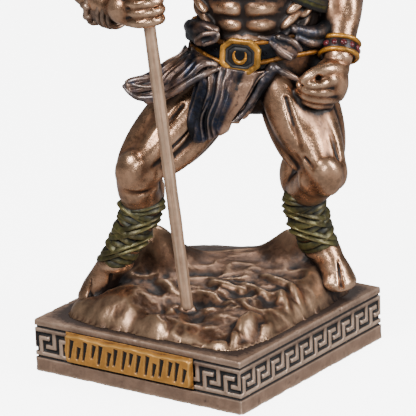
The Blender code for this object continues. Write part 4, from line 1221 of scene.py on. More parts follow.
for up, spread, proud in (
    (49.0, 1.55, 0.7), (45.0, 1.55, 1.2), (41.0, 1.35, 2.0), (37.0, 1.05, 1.6), (33.4, 0.75, 0.2)
):
    row = []
    for share in (-1, -0.6, -0.2, 0.2, 0.6, 1):
        side, fore, _ = trunk_skin(
            math.pi - share * spread, max(up, 41.0), proud - 0.6 * max(0, 41.0 - up) * 0.4
        )
        row.append((side - 0.25 * max(0, 41.0 - up), fore, up + 0.5 * math.sin(5 * share)))
    back_rows.append(row)
back_folds = [
    (0.04, 0, 0.1, 0.99, 0.7, 0.6, 0.8),
    (0.16, 0, 0.2, 0.99, 0.8, 0.7, 1),
    (0.3, 0.05, 0.32, 0.95, 1, 0.7, 1.2),
    (0.44, 0, 0.44, 0.99, 0.8, 0.8, 1.1),
    (0.57, 0.02, 0.55, 0.9, 1, 0.6, 1.2),
    (0.7, 0, 0.66, 0.99, 0.8, 0.6, 1.1),
    (0.84, 0, 0.78, 0.99, 0.8, 0.6, 0.9),
    (0.96, 0, 0.9, 0.99, 0.6, 0.6, 0.8),
]
cloth_blue = painted(
    "cloth_blue", (0.002, 0.002, 0.003), (0.015, 0.02, 0.038), (0.82, 0.62, 0.5),
    metallic=0.75, roughness=0.3, layers=(0.45, 0.63, 0.05, 0.22, 0.3),
    patch=("bare", (0.4, 0.225, 0.14)),
)
for name, rows_of_cloth, folds, sizes in (
    ("loincloth_front", front_rows, front_folds, (110, 110)),
    ("loincloth_side", side_rows_of_cloth, side_folds, (70, 120)),
    ("loincloth_back", back_rows, back_folds, (150, 90)),
):
    flip = name != "loincloth_front"
    points, faces = cloth_sheet(rows_of_cloth, *sizes, folds, seed=len(name), flip=flip)
    # The paint is worn through to bronze in broad streaks, most of all on the front's left half.
    streak = rough(points * (0.9, 0.5, 0.25), 1.6, 23, 2)
    worn = 0.22 + 1.2 * streak
    if name == "loincloth_front":
        across = points[:, 0] + 0.28 * (45 - points[:, 2])
        half = 0.7 + 0.17 * (45 - points[:, 2])
        worn = smooth_step(half + 0.5, half - 0.5, abs(across - 8.4)) + 1.0 * streak
    cast_on(name, points, faces, cloth_blue, 5, {"bare": np.clip(worn, 0, 1)})

# The rolls over the belt, the curled corner and the rolled hem are thick, so they are clay.
rolls = Clay((-18, -14, 36), (28, 9, 57), 0.2)
# The roll on the right hip, with the leaf-shaped end of a flap over it.
rolls.stroke(
    [(-1.2, 0.6, 50.6, 1.3), (-0.5, -2.8, 51.3, 1.5), (1.2, -4.9, 51.6, 1.45), (2.9, -6.2, 51.6, 0.9)],
    0.6
)
rolls.stroke([(-1.3, -0.6, 49.4, 1), (0.2, -4.2, 50, 1.1), (1.9, -6, 50.4, 0.9)], 0.5)
rolls.stroke([(-0.9, -3.8, 52.3, 0.45), (1, -5.7, 52.5, 0.5), (2.6, -6.9, 52, 0.4)], 0.3)
rolls.muscle((-0.8, -6.2, 49.6), (3.3, -8, 51.3), 1.15, 0.55, 0.3, (-0.3, -1, 0.2))
rolls.stroke(
    [(-0.4, -6.7, 50.3, 0.35), (1, -7.5, 51.4, 0.45), (3.2, -7.9, 51.6, 0.4), (3, -8, 50.5, 0.45),
    (1, -7.4, 49.5, 0.35)], 0.3
)
rolls.muscle((0.4, -7.4, 50.2), (2.6, -8.5, 51), 0.5, 0.5, 0.25, (-0.3, -1, 0.2), dig=True)
# The grey flap turned down over the belt on the left.
rolls.muscle((12.9, -8.2, 50.6), (16.6, -8.3, 46.9), 1.9, 0.75, 0.5, (0.15, -1, 0.15))
rolls.stroke([(12.4, -8.7, 49.8, 0.45), (14, -9.1, 48.2, 0.5), (15.6, -9, 47, 0.5)], 0.45)
rolls.stroke([(13.8, -8.5, 50.7, 0.5), (16.2, -8.6, 49.8, 0.55), (17.4, -8.2, 48.2, 0.45)], 0.45)
rolls.groove([(13.4, -9.2, 50.2, 0.2), (15, -9.6, 48.8, 0.3), (16.4, -9.4, 47.6, 0.2)], 0.3)
# The cloth bunched above the belt from there round the left hip.
rolls.stroke(
    [(16.6, -7.2, 51.6, 0.9), (19, -6.2, 50.6, 1.2), (21.2, -4.2, 50.2, 1.4), (22.8, -0.6, 50.8, 1.5),
    (23, 3, 51.2, 1)], 0.5
)
rolls.stroke([(17, -7.6, 50.2, 0.6), (19.4, -6.4, 48.8, 0.8), (21.4, -4.6, 48.4, 0.8)], 0.4)
rolls.stroke(
    [(10.4, -8.1, 50.7, 0.35), (12.2, -8.1, 50.4, 0.5), (14.8, -7.4, 51, 0.6), (16.6, -6.4, 52, 0.5)], 0.3
)
# The hem, as a bright roll along the lower edge of the side panel.
rolls.stroke(
    [(3.2, -9, 45.6, 0.4), (0.9, -9.7, 45, 0.6), (-1.7, -9.5, 43.6, 0.65), (-4.1, -9.1, 42, 0.65),
    (-6.9, -8.3, 40.6, 0.7), (-9, -7.7, 40.1, 0.8)], 0.5
)
# The corner that flies out: a pointed end with a rolled rim round a dark hollow.
rolls.muscle((-12.3, -6.2, 42), (-6.4, -6.8, 42.4), 1.5, 0.7, 0.5, (-0.1, -1, 0.1))
rolls.stroke(
    [(-13.1, -6.7, 42.5, 0.3), (-12, -6.9, 43.3, 0.42), (-9.9, -7, 43.8, 0.5), (-8, -7, 44.1, 0.4)], 0.3
)
rolls.stroke(
    [(-13.1, -6.8, 42.4, 0.3), (-12.2, -7.2, 41.5, 0.45), (-10.7, -7.6, 40.6, 0.55),
    (-8.8, -8, 40.6, 0.6), (-6.9, -8.3, 41, 0.5)], 0.3
)
rolls.stroke([(-11.8, -7.2, 42.9, 0.25), (-9.8, -7.9, 42.6, 0.35), (-8, -8.2, 42.6, 0.3)], 0.3)
rolls.lump((-10.3, -7.8, 41.8), (1.1, 0.8, 0.55), 0.25, dig=True)
rolls.lump((-8.4, -7.9, 43.3), (1.2, 0.6, 0.4), 0.25, dig=True)
# The curled lip of the front cloth's lowest corner, round a dark hollow.
lip = [
    (-1.9, 34.2), (-1.3, 35), (-0.3, 35.3), (0.7, 34.7), (0.9, 33.7), (0, 33), (-1, 32.9), (-1.7, 33.4),
    (-1.9, 34.2)
]
rolls.stroke([(side, -10.2, up + 0.3, 0.36) for side, up in lip], 0.3)
# The rolled edge of the front cloth, from the belt down to its lowest corner.
rolls.stroke(
    [(10.7, -8.9, 43.2, 0.5), (9.2, -8.9, 40.5, 0.6), (7.2, -8.7, 37.6, 0.6), (4.7, -9.7, 35.3, 0.55),
    (2.1, -10.3, 33.9, 0.5), (0.4, -10.3, 33.5, 0.4)], 0.5
)
# The belly of the front cloth, which closes it against the thigh, and the fold at the groin.
rolls.stroke(
    [(12.6, -8.4, 45.2, 1), (10.6, -7.8, 42.6, 1.3), (9, -6.4, 39.8, 1.4), (7.8, -5.4, 37.6, 1)], 0.6
)
rolls.stroke([(13, -8.3, 45.2, 0.7), (15.4, -8.7, 43.9, 0.6), (17.6, -8.6, 42.6, 0.4)], 0.5)
rolls.stroke([(8.6, 0, 39, 2.2), (8, -1.6, 36.6, 1.6), (7.6, -2.6, 35, 0.8)], 0.8)
points, faces = rolls.surface()
roll_worn = np.clip(0.12 + 0.9 * rough(points, 1.8, 27, 2), 0, 1)
cast_on("loincloth_rolls", points, faces, cloth_blue, 6, {"bare": roll_worn})

# The belt: a broad black strap round the hips, with a gold cord moulded along both edges, domed
# rivets, and an eight-sided buckle with a gold rim, a black panel and a gold crescent of horns.
BELT_HALF = 1.75
BUCKLE_MIDDLE = np.array((7.0, -8.9, 47.6))
BUCKLE_HALF = (3.55, 3.05)


def sweep(centres, outs, ups, profile, closed=True):
    """A strip carried along a line: its profile is a ring of steps outward and upward."""
    profile = np.asarray(profile, float)
    if profile.ndim == 2:
        profile = np.broadcast_to(profile, (len(centres), *profile.shape))
    points = centres[:, None] + outs[:, None] * profile[..., :1] + ups[:, None] * profile[..., 1:]
    count, ring = points.shape[:2]
    number = np.arange(count * ring).reshape(count, ring)
    after = np.roll(number, -1, 1)
    if closed:
        following, following_after = np.roll(number, -1, 0), np.roll(after, -1, 0)
    else:
        following, following_after = number[1:], after[1:]
        number, after = number[:-1], after[:-1]
    faces = np.stack([number, after, following_after, following], -1).reshape(-1, 4)
    points = points.reshape(-1, 3)
    if not closed:
        ends = np.stack([points[:ring].mean(0), points[-ring:].mean(0)])
        k = np.arange(ring)
        near = np.stack([k, np.full(ring, len(points)), np.full(ring, len(points)), np.roll(k, -1)], 1)
        far = k + len(points) - ring
        far = np.stack(
            [far, np.roll(far, -1), np.full(ring, len(points) + 1), np.full(ring, len(points) + 1)], 1
        )
        return np.concatenate([points, ends]), [faces, near[:, [0, 1, 3]], far[:, [0, 1, 2]]]
    return points, faces


def round_profile(out, up, radius, sides=10, flat=1.0):
    turn = np.arange(sides) / sides * 2 * math.pi
    return np.stack([out + radius * flat * np.cos(turn), up + radius * np.sin(turn)], 1)


def band_profile(inner, outer, half, crown=0.08):
    """A flat strap's section: its inner and outer faces, half its width, and how far it is crowned."""
    ups = (-1, -0.9, -0.5, 0, 0.5, 0.9, 1)
    outs = (-0.16, 0, 0.6, 1, 0.6, 0, -0.16)
    faced = [(outer + (crown if o > 0 else 0.7) * o, half * u) for u, o in zip(ups, outs)]
    return [(inner, -half), *faced, (inner, half)]


def belt_line(angle, shift=0.0):
    round_from_front = min(angle % (2 * math.pi), -angle % (2 * math.pi))
    up = 47.6 + (1.5 - 0.5 * math.sin(angle)) * math.tanh((round_from_front / 0.65) ** 2) + shift
    return trunk_skin(angle, up, 0.35)


def round_trunk(line, count=180):
    """Places round the trunk on a line, with the ways out and up at each."""
    turns = np.arange(count) / count * 2 * math.pi
    centres = np.array([line(turn) for turn in turns])
    along = np.roll(centres, -1, 0) - np.roll(centres, 1, 0)
    along /= np.linalg.norm(along, axis=1)[:, None]
    outs = np.cross(along, (0, 0, 1.0))
    outs /= np.linalg.norm(outs, axis=1)[:, None]
    return centres, outs, np.cross(outs, along)


belt_centres, belt_outs, belt_ups = round_trunk(belt_line)
belt_black = painted(
    "belt_black", (0.003, 0.003, 0.004), (0.006, 0.007, 0.01), (0.05, 0.045, 0.042),
    metallic=0.2, roughness=0.42, layers=(0.52, 0.75, 0.9, 0.09),
)
belt_black.node_tree.nodes["Principled BSDF"].inputs["Specular IOR Level"].default_value = 0.2
trim_gold = painted(
    "trim_gold", (0.04, 0.015, 0.005), (0.46, 0.18, 0.02), (0.8, 0.43, 0.085),
    metallic=0.6, roughness=0.33, layers=(0.55, 0.78, 0.14, 0.16),
)
points, faces = sweep(belt_centres, belt_outs, belt_ups, band_profile(-1.0, 0.5, BELT_HALF))
cast_on("belt_strap", points, faces, belt_black, 3)
trims = []
for edge in (-1, 1):
    wave = 0.04 * np.sin(np.arange(len(belt_centres)) * 0.9)
    profile = np.stack([round_profile(0.62 + w, edge * BELT_HALF + w, 0.44, flat=0.8) for w in wave])
    trims.append(sweep(belt_centres, belt_outs, belt_ups, profile))
points, faces = join(trims)
cast_on("belt_trims", points, faces, trim_gold, 3)

buckle_out = np.array((math.sin(HIP_TURN - 0.02), -math.cos(HIP_TURN - 0.02), 0.1))
buckle_out /= np.linalg.norm(buckle_out)
buckle_across = np.cross((0, 0, 1.0), buckle_out)
buckle_across /= np.linalg.norm(buckle_across)
buckle_across = buckle_across * math.cos(0.06) + np.array((0, 0, -math.sin(0.06)))
buckle_rise = np.cross(buckle_out, buckle_across)


def eight_sided(scale, count=64):
    """Places round an eight-sided outline whose corners are a little eased."""
    turn = (np.arange(count) + 0.5) / count * 2 * math.pi
    x, z = np.cos(turn), np.sin(turn)
    reach = 1 / np.maximum(np.maximum(abs(x), abs(z)), (abs(x) + abs(z)) / 1.52)
    return np.stack([x * reach * (BUCKLE_HALF[0] + scale), z * reach * (BUCKLE_HALF[1] + scale)], 1)


def buckle_place(flat, out):
    return BUCKLE_MIDDLE + flat[:, :1] * buckle_across + flat[:, 1:] * buckle_rise + out * buckle_out


def lofted(rings, closed_middle=True):
    """Rings of places joined in turn, the first and last closed at their middles."""
    count = len(rings[0])
    k = np.arange(count)
    after = np.roll(k, -1)
    band = np.stack([k, after, after + count, k + count], 1)
    faces = [band + r * count for r in range(len(rings) - 1)]
    points = np.concatenate(rings)
    if not closed_middle:
        top = (len(rings) - 1) * count
        faces.append(np.stack([k + top, after + top, after, k], 1))
        return points, np.concatenate(faces)
    middles = np.stack([rings[0].mean(0), rings[-1].mean(0)])
    low = np.full(count, len(points))
    top = (len(rings) - 1) * count
    caps = [np.stack([after, k, low], 1), np.stack([k + top, after + top, low + 1], 1)]
    return np.concatenate([points, middles]), [np.concatenate(faces), *caps]


rim_steps = (
    (0, -0.6), (0, 0.25), (-0.08, 0.42), (-0.24, 0.5), (-0.62, 0.5), (-0.8, 0.4), (-0.92, 0.2),
    (-0.95, -0.6)
)
points, faces = lofted(
    [buckle_place(eight_sided(scale), out) for scale, out in rim_steps], closed_middle=False
)
cast_on("buckle_rim", points, faces, trim_gold, 3)
panel_steps = ((-0.7, -0.6), (-0.7, 0.02), (-1.3, 0.04), (-1.42, -0.1), (-1.56, 0.05), (-2.2, 0.08))
points, faces = lofted([buckle_place(eight_sided(scale), out) for scale, out in panel_steps])
cast_on("buckle_panel", points, faces, belt_black, 3)
horn = []
for share in np.linspace(-1, 1, 41):
    turn = math.radians(270 + 128 * share)
    wide = 0.07 + 0.33 * (1 - abs(share) ** 1.8)
    horn.append((1.08 * math.cos(turn), 1.22 * math.sin(turn) + 0.16, wide))
horn = np.array(horn)
horn_centres = buckle_place(horn[:, :2], 0.1)
horn_along = np.gradient(horn_centres, axis=0)
horn_along /= np.linalg.norm(horn_along, axis=1)[:, None]
horn_side = np.cross(horn_along, buckle_out)
horn_profile = np.stack([round_profile(0.04, 0, wide, 10) * (0.8, 1) for wide in horn[:, 2]])
points, parts = sweep(
    horn_centres, np.broadcast_to(buckle_out, horn_centres.shape), horn_side, horn_profile, closed=False
)
cast_on("buckle_crescent", points, parts, trim_gold, 2)
for count, turn in enumerate((-0.62, -0.38, 0.36, 0.52, 0.8, 2.2, 2.8, 3.5, 4.1)):
    out = trunk_facing(turn)
    level = np.array((-out[1], out[0], 0))
    turns = np.arange(16) / 16 * 2 * math.pi
    middle = np.array(belt_line(turn, 0.2 if count % 2 else -0.3))
    way = np.cos(turns)[:, None] * level + np.sin(turns)[:, None] * np.array((0, 0, 1.0))
    dome = ((0.42, 0.3), (0.42, 0.58), (0.34, 0.74), (0.18, 0.82))
    points, parts = lofted([middle + out * high + radius * way for radius, high in dome])
    cast_on(f"belt_rivet_{count}", points, parts, belt_black, 1)

# The leg wraps: leather straps wound up both shins from the fetlock to below the knee, one turn
# lapping over the next, painted olive green over a dark wash.
olive_leather = painted(
    "olive_leather", (0.004, 0.004, 0.003), (0.052, 0.052, 0.012), (0.4, 0.29, 0.12),
    metallic=0.5, roughness=0.38, layers=(0.4, 0.54, 0.04, 0.3, 0.3),
)


def along_leg(leg, up):
    """The middle and radius of a leg at a height on its shin."""
    shin = np.array(leg[::-1])
    return np.array([np.interp(up, shin[:, 2], shin[:, axis]) for axis in range(4)])


def wrap_turn(leg, up, rise, twist, proud, half):
    """One turn of strap round a shin. It rises by so much to the figure's left, turned by twist."""
    turns = np.arange(56) / 56 * 2 * math.pi
    centres = []
    for turn in turns:
        middle = along_leg(leg, up + rise * math.cos(turn - twist))
        reach = middle[3] + proud + 0.1 * math.sin(3 * turn + up)
        centres.append((middle[0] + reach * math.cos(turn), middle[1] - reach * math.sin(turn), middle[2]))
    centres = np.array(centres)
    along = np.roll(centres, -1, 0) - np.roll(centres, 1, 0)
    along /= np.linalg.norm(along, axis=1)[:, None]
    middles = centres.mean(0)
    outs = centres - middles
    outs -= along * (outs * along).sum(1)[:, None]
    outs /= np.linalg.norm(outs, axis=1)[:, None]
    ups_at = np.cross(along, outs)
    ups_at *= np.sign(ups_at[:, 2].mean())
    section = np.array(band_profile(-0.7, 0.22, half))
    # The lower edge stands out and the upper one is tucked under the next turn.
    section[:, 0] += np.where(section[:, 0] > 0, -0.22 * section[:, 1] / half, 0)
    return sweep(centres, outs, ups_at, section)


def facing_out(points, faces):
    """The faces turned so that they look away from the middle of the strip."""
    normal = outward(points, faces)
    middle = points.mean(0)
    if ((points - middle) * normal).sum() < 0:
        return points, faces[:, ::-1]
    return points, faces


# Height, rise towards the figure's left, twist, how far it stands off and half width of each turn.
right_wraps = [(9.5 + 1.25 * k, -1.5 + 0.5 * (k % 2), 0.2, 0.2 + 0.17 * (k % 3), 0.58) for k in range(9)]
right_wraps += [
    (11.4, 1.8, 0.5, 0.64, 0.46), (12.6, 1.9, 0.4, 0.62, 0.42), (15.8, 1.7, 0.3, 0.68, 0.48),
    (17, 1.6, 0.3, 0.6, 0.4)
]
right_wraps += [(18.8, -2.2, 0, 0.6, 0.5), (19.9, 0.2, 0.2, 0.42, 0.5), (20.6, 0.5, 0.2, 0.3, 0.42)]
left_wraps = [(9.3 + 1.25 * k, 1.6 - 0.5 * (k % 2), -0.3, 0.2 + 0.17 * (k % 3), 0.58) for k in range(9)]
left_wraps += [
    (11.4, -1.7, -0.5, 0.64, 0.46), (12.7, -1.8, -0.4, 0.62, 0.42), (15.4, -1.6, -0.3, 0.68, 0.48),
    (16.7, -1.4, -0.3, 0.6, 0.4)
]
left_wraps += [(18.5, 2.1, 0, 0.6, 0.5), (19.5, -0.2, 0.2, 0.42, 0.5), (20.3, -0.4, 0.2, 0.3, 0.42)]
for name, leg, wraps in (
    ("right_leg_wraps", RIGHT_LEG, right_wraps), ("left_leg_wraps", LEFT_LEG, left_wraps)
):
    points, faces = join([facing_out(*wrap_turn(leg, *turn)) for turn in wraps])
    cast_on(name, points, faces, olive_leather, 4)

# The baldric: a flat strap with a sewn fold, from the right shoulder down to the left ribs and round
# the back, in the same olive green.


def baldric_line(angle):
    up = 62.6 - 8.4 * math.sin(angle + HIP_TURN + 0.12)
    return trunk_skin(angle, up, 0.9)


centres, outs, ups_at = round_trunk(baldric_line)
section = np.array(
    [(-1.6, -1.35), (0.3, -1.35), (0.42, -1.25), (0.42, -0.5), (0.5, -0.2), (0.62, 0.05)]
    + [(0.4, 0.18), (0.4, 1.2), (0.3, 1.35), (-1.6, 1.35)]
)
points, faces = sweep(centres, outs, ups_at, section)
cast_on("baldric", points, faces, olive_leather, 3)

# The wrist guards: on the left a dark band between two gold rims, set with red stones, and on the
# right a broad bracer of bronze rings with a knobbed end.


def ring_round(middle, axis, radius, count=72):
    """Places on a ring, the ways out from it, and its axis at each."""
    one = np.cross(axis, (0, 0, 1))
    one /= np.linalg.norm(one)
    turns = np.arange(count) / count * 2 * math.pi
    outs = np.cos(turns)[:, None] * one + np.sin(turns)[:, None] * np.cross(axis, one)
    return middle + outs * radius, outs, np.broadcast_to(axis, outs.shape)


CUFF_AXIS = np.array((-0.12, -0.62, -0.76))
CUFF_AXIS /= np.linalg.norm(CUFF_AXIS)
CUFF_MIDDLE = np.array((24.2, -4.0, 46.8))
cuff_dark = painted(
    "cuff_dark", (0.008, 0.005, 0.006), (0.012, 0.007, 0.007), (0.05, 0.025, 0.022),
    metallic=0.3, roughness=0.35, layers=(0.5, 0.72, 0.5, 0.14),
)
stone_red = painted(
    "stone_red", (0.03, 0.004, 0.006), (0.085, 0.009, 0.013), (0.24, 0.06, 0.065),
    metallic=0.1, roughness=0.24, layers=(0.56, 0.8, 0.1, 0.12), grain=0.000008,
)
rims = []
for shift, radius in ((-1.2, 3.35), (1.2, 3.25)):
    ring = ring_round(CUFF_MIDDLE + CUFF_AXIS * shift, CUFF_AXIS, radius)
    rims.append(facing_out(*sweep(*ring, round_profile(0, 0, 0.42, 12))))
points, faces = join(rims)
cast_on("cuff_rims", points, faces, trim_gold, 3)
ring = ring_round(CUFF_MIDDLE, CUFF_AXIS, 3.25)
points, faces = facing_out(*sweep(*ring, band_profile(-0.9, 0.05, 1.2)))
cast_on("cuff_band", points, faces, cuff_dark, 3)
stones = Clay((17, -12, 40), (30, 3, 54), 0.16)
centres, outs, _ = ring_round(CUFF_MIDDLE, CUFF_AXIS, 3.32, count=13)
for k, (centre, out) in enumerate(zip(centres, outs)):
    across = np.cross(CUFF_AXIS, out)
    stones.lump(centre + out * 0.05, (0.62 if k % 2 else 0.5, 0.55, 0.38), 0.05, (across, CUFF_AXIS, out))
cast_on("cuff_stones", *stones.surface(), stone_red, 3)

BRACER_AXIS = np.array((0.66, -0.66, -0.22))
BRACER_AXIS /= np.linalg.norm(BRACER_AXIS)
BRACER_START = np.array((-15.7, -5.0, 56.9))
bracer_bronze = painted(
    "bracer_bronze", (0.014, 0.008, 0.006), (0.24, 0.15, 0.105), (0.62, 0.43, 0.31),
    metallic=0.85, roughness=0.33, layers=(0.46, 0.64, 0.08, 0.14),
)
# Place along the forearm, radius and thickness of each ring of the bracer.
bands = []
for shift, radius, thick, half in (
    (-0.7, 3.85, 0.55, 0),
    (0.45, 3.45, 0, 0.85),
    (1.75, 3.45, 0.45, 0),
    (2.75, 3.25, 0.48, 0),
    (3.75, 2.95, 0.4, 0),
):
    ring = ring_round(BRACER_START + BRACER_AXIS * shift, BRACER_AXIS, radius)
    profile = round_profile(0, 0, thick, 12) if thick else band_profile(-1.2, 0.1, half)
    bands.append(facing_out(*sweep(*ring, profile)))
points, faces = join(bands)
cast_on("bracer_rings", points, faces, bracer_bronze, 3)
knobs = Clay((-24, -13, 49), (-8, 4, 66), 0.2)
centres, outs, _ = ring_round(BRACER_START - BRACER_AXIS * 0.7, BRACER_AXIS, 3.7, count=11)
knobs.lump(
    BRACER_START + BRACER_AXIS * 1.2, (3.3, 3.3, 2.9), 0.3, (np.cross(BRACER_AXIS, (0, 0, 1)),
    (0.2, -0.2, 1), BRACER_AXIS)
)
for k, (centre, out) in enumerate(zip(centres, outs)):
    knobs.lump(centre, (0.95, 0.95, 0.8), 0.3)
    knobs.lump(centre - BRACER_AXIS * 0.7 + out * (0.25 * (-1) ** k), (0.6, 0.6, 0.6), 0.2)
cast_on("bracer_knobs", *knobs.surface(), bracer_bronze, 8)

# The head: a plain bull's head of no breed in particular, with a heavy brow, ears and two horns,
# lowered a little towards the axe. A coarse mane falls from between the horns to the shoulders.
head = Clay((-4, -16, 66), (24, 12, 88), 0.25)
head.stroke([(10.2, 1.4, 70.5, 5.4), (10, -0.6, 74.5, 4.8), (9.6, -2.6, 77.4, 4.5)], 1)
head.stroke([(9.4, -3.6, 77.6, 4.2), (8.9, -6.8, 75.8, 3.3), (8.4, -9.4, 74.2, 2.7)], 0.9)
head.lump((8.2, -10.6, 73.9), (2.9, 1.7, 2.2), 0.7)
head.lump((8.4, -8.6, 71.6), (2.2, 2.8, 1.1), 0.6)
head.stroke([(8.9, -8.6, 76.6, 1.3), (9.4, -4.6, 79.8, 2), (9.7, -2, 81.4, 2.4)], 0.8)
for hand in (-1, 1):
    eye = np.array((9.2 + hand * 3.1, -6.0, 77.7))
    head.stroke(
        [(9.3 + hand * 1.2, -6.9, 79, 0.8), (9.3 + hand * 3, -6.4, 79.1, 0.95),
        (9.4 + hand * 4.2, -4.6, 78.3, 0.8)], 0.4
    )
    head.lump(eye, (0.9, 0.8, 0.7), 0.3, dig=True)
    head.lump(eye + (0, -0.05, -0.05), (0.62, 0.55, 0.5), 0.1)
    head.stroke([(eye[0] - hand * 0.4, -7, 76.9, 0.4), (eye[0] + hand * 0.9, -5.4, 76.7, 0.5)], 0.4)
    head.lump((8.2 + hand * 1.7, -11.9, 74.2), (0.75, 0.7, 0.5), 0.3, dig=True)
    head.groove([(8.2 + hand * 0.9, -12.1, 73, 0.3), (8.3 + hand * 2.6, -10, 72.5, 0.35)], 0.35)
    head.stroke([(9 + hand * 2.8, -6.4, 75, 1.1), (9.4 + hand * 3.4, -3.2, 74.2, 1.8)], 0.7)
    head.stroke(
        [
            (9.8 + hand * 3.6, -1.6, 78.6, 1, 0.7), (9.8 + hand * 6.4, -1.5, 77.6, 1.4, 0.5),
            (9.8 + hand * 8.6, -1.3, 76.4, 0.5, 0.3)
        ],
        0.4,
        wide=(0, 0, 1),
    )
    head.groove([(9.8 + hand * 4.6, -2.5, 78.2, 0.4), (9.8 + hand * 7.4, -2.2, 77, 0.3)], 0.4)
cast_on("bull_head", *head.surface(), cast_bronze, 20)

horns = []
for hand in (-1, 1):
    line = curve_through(
        [
            (9.8 + hand * 2.6, -2.5, 80, 1.75),
            (9.8 + hand * 6.2, -2.9, 80.7, 1.5),
            (9.8 + hand * 8.6, -3.9, 82.6, 1.1),
            (9.8 + hand * 9, -4.6, 84.2, 0.7),
            (9.8 + hand * 8.4, -5, 85.2, 0.18),
        ],
        14,
    )
    along = np.gradient(line[:, :3], axis=0)
    along /= np.linalg.norm(along, axis=1)[:, None]
    one = np.cross(along, (0, 1.0, 0.2))
    one /= np.linalg.norm(one, axis=1)[:, None]
    ridge = 1 + 0.06 * np.sin(np.arange(len(line)) * 1.3) * np.linspace(1, 0, len(line))
    profile = np.stack([round_profile(0, 0, radius, 20) for radius in line[:, 3] * ridge])
    points, parts = sweep(line[:, :3], one, np.cross(along, one), profile, closed=False)
    horns.append((points, parts))
horn_ivory = painted(
    "horn_ivory", (0.05, 0.03, 0.018), (0.42, 0.31, 0.21), (0.7, 0.56, 0.42),
    metallic=0.45, roughness=0.4, layers=(0.55, 0.9, 0.06, 0.12),
)
for name, (points, parts) in zip(("right_horn", "left_horn"), horns):
    cast_on(name, points, parts, horn_ivory, 5)

mane = Clay((-2, -8, 64), (23, 13, 86), 0.25)
mane.lump((10, 1.6, 76.4), (5.6, 5.2, 5.6), 0.8)
strand_hand = np.random.default_rng(11)
for row, (up, reach, drop) in enumerate(
    ((81.0, 3.4, 5.5), (79.4, 5.0, 6.5), (76.6, 5.9, 6.5), (74.0, 6.3, 6.0))
):
    for lock in range(17):
        turn = math.radians(-128 + 256 * (lock + 0.5 * (row % 2)) / 16)
        turn += strand_hand.normal(0, 0.05)
        out = np.array((math.sin(turn), math.cos(turn), 0))
        root = np.array((10.0, 0.6, up)) + out * reach * 0.85
        swell = 1.3 + strand_hand.normal(0, 0.3)
        tip = root + out * swell - np.array((strand_hand.normal(0, 0.5), 0, drop))
        middle = (root + tip) / 2 + out * (1.0 + strand_hand.normal(0, 0.2))
        mane.stroke([(*root, 1), (*middle, 0.85), (*tip, 0.25)], 0.18)
for lock in range(7):
    side = 8.0 + 0.6 * lock
    mane.stroke(
        [(side, -2.6, 82, 0.9), (side - 0.2, -5.4, 81, 0.7),
        (side - 0.3 + 0.2 * (lock - 3), -7.2, 78.9, 0.25)], 0.18
    )
points, faces = mane.surface()
mane_dark = painted(
    "mane_dark", (0.008, 0.005, 0.004), (0.085, 0.05, 0.032), (0.46, 0.29, 0.18),
    metallic=0.7, roughness=0.4, layers=(0.52, 0.8, 0.14, 0.24),
)
cast_on("mane", points, faces, mane_dark, 14)

# The battle axe: a wooden haft set on the rock, and a double head slotted over it with an iron eye.
# It is cast apart and glued in, rubbed to a light tan along the grain of the haft.
HAFT_RADIUS = 1.07
AXE_UP = 77.0
HAFT_TOP = 84.5
haft_tan = painted(
    "haft_tan", (0.05, 0.028, 0.018), (0.4, 0.24, 0.15), (0.62, 0.425, 0.285),
    metallic=0.4, roughness=0.44, layers=(0.56, 0.8, 0.03, 0.05, 0.18, 900.0), stain=0.35,
)
haft_count = 420
haft_ups = np.linspace(HAFT_FOOT[2] - 0.4, HAFT_TOP, haft_count)
haft_centres = np.array([haft_at(up) for up in haft_ups])
turns = np.arange(40) / 40 * 2 * math.pi
around_haft = np.stack(
    np.broadcast_arrays(np.cos(turns)[None] * 1.6, np.sin(turns)[None] * 1.6, haft_ups[:, None] * 0.07),
    -1
)
grain = rough(around_haft.reshape(-1, 3), 0.34, 5, 3).reshape(haft_count, 40)
facets = 0.03 * np.cos(6 * turns)[None]
radius = HAFT_RADIUS - 0.03 + 0.055 * grain + facets + 0.02 * np.sin(haft_ups * 0.7)[:, None]
profile = np.stack([radius * np.cos(turns), radius * np.sin(turns)], -1)
lean = np.array((1, 0, -HAFT_LEAN)) / math.hypot(1, HAFT_LEAN)
outs = np.broadcast_to(lean, (haft_count, 3))
points, parts = sweep(
    haft_centres, outs, np.broadcast_to((0.0, 1.0, 0.0), outs.shape), profile, closed=False
)
cast_on("axe_haft", points, parts, haft_tan, 5, slot="axe_bronze", replaces="battle_axe")

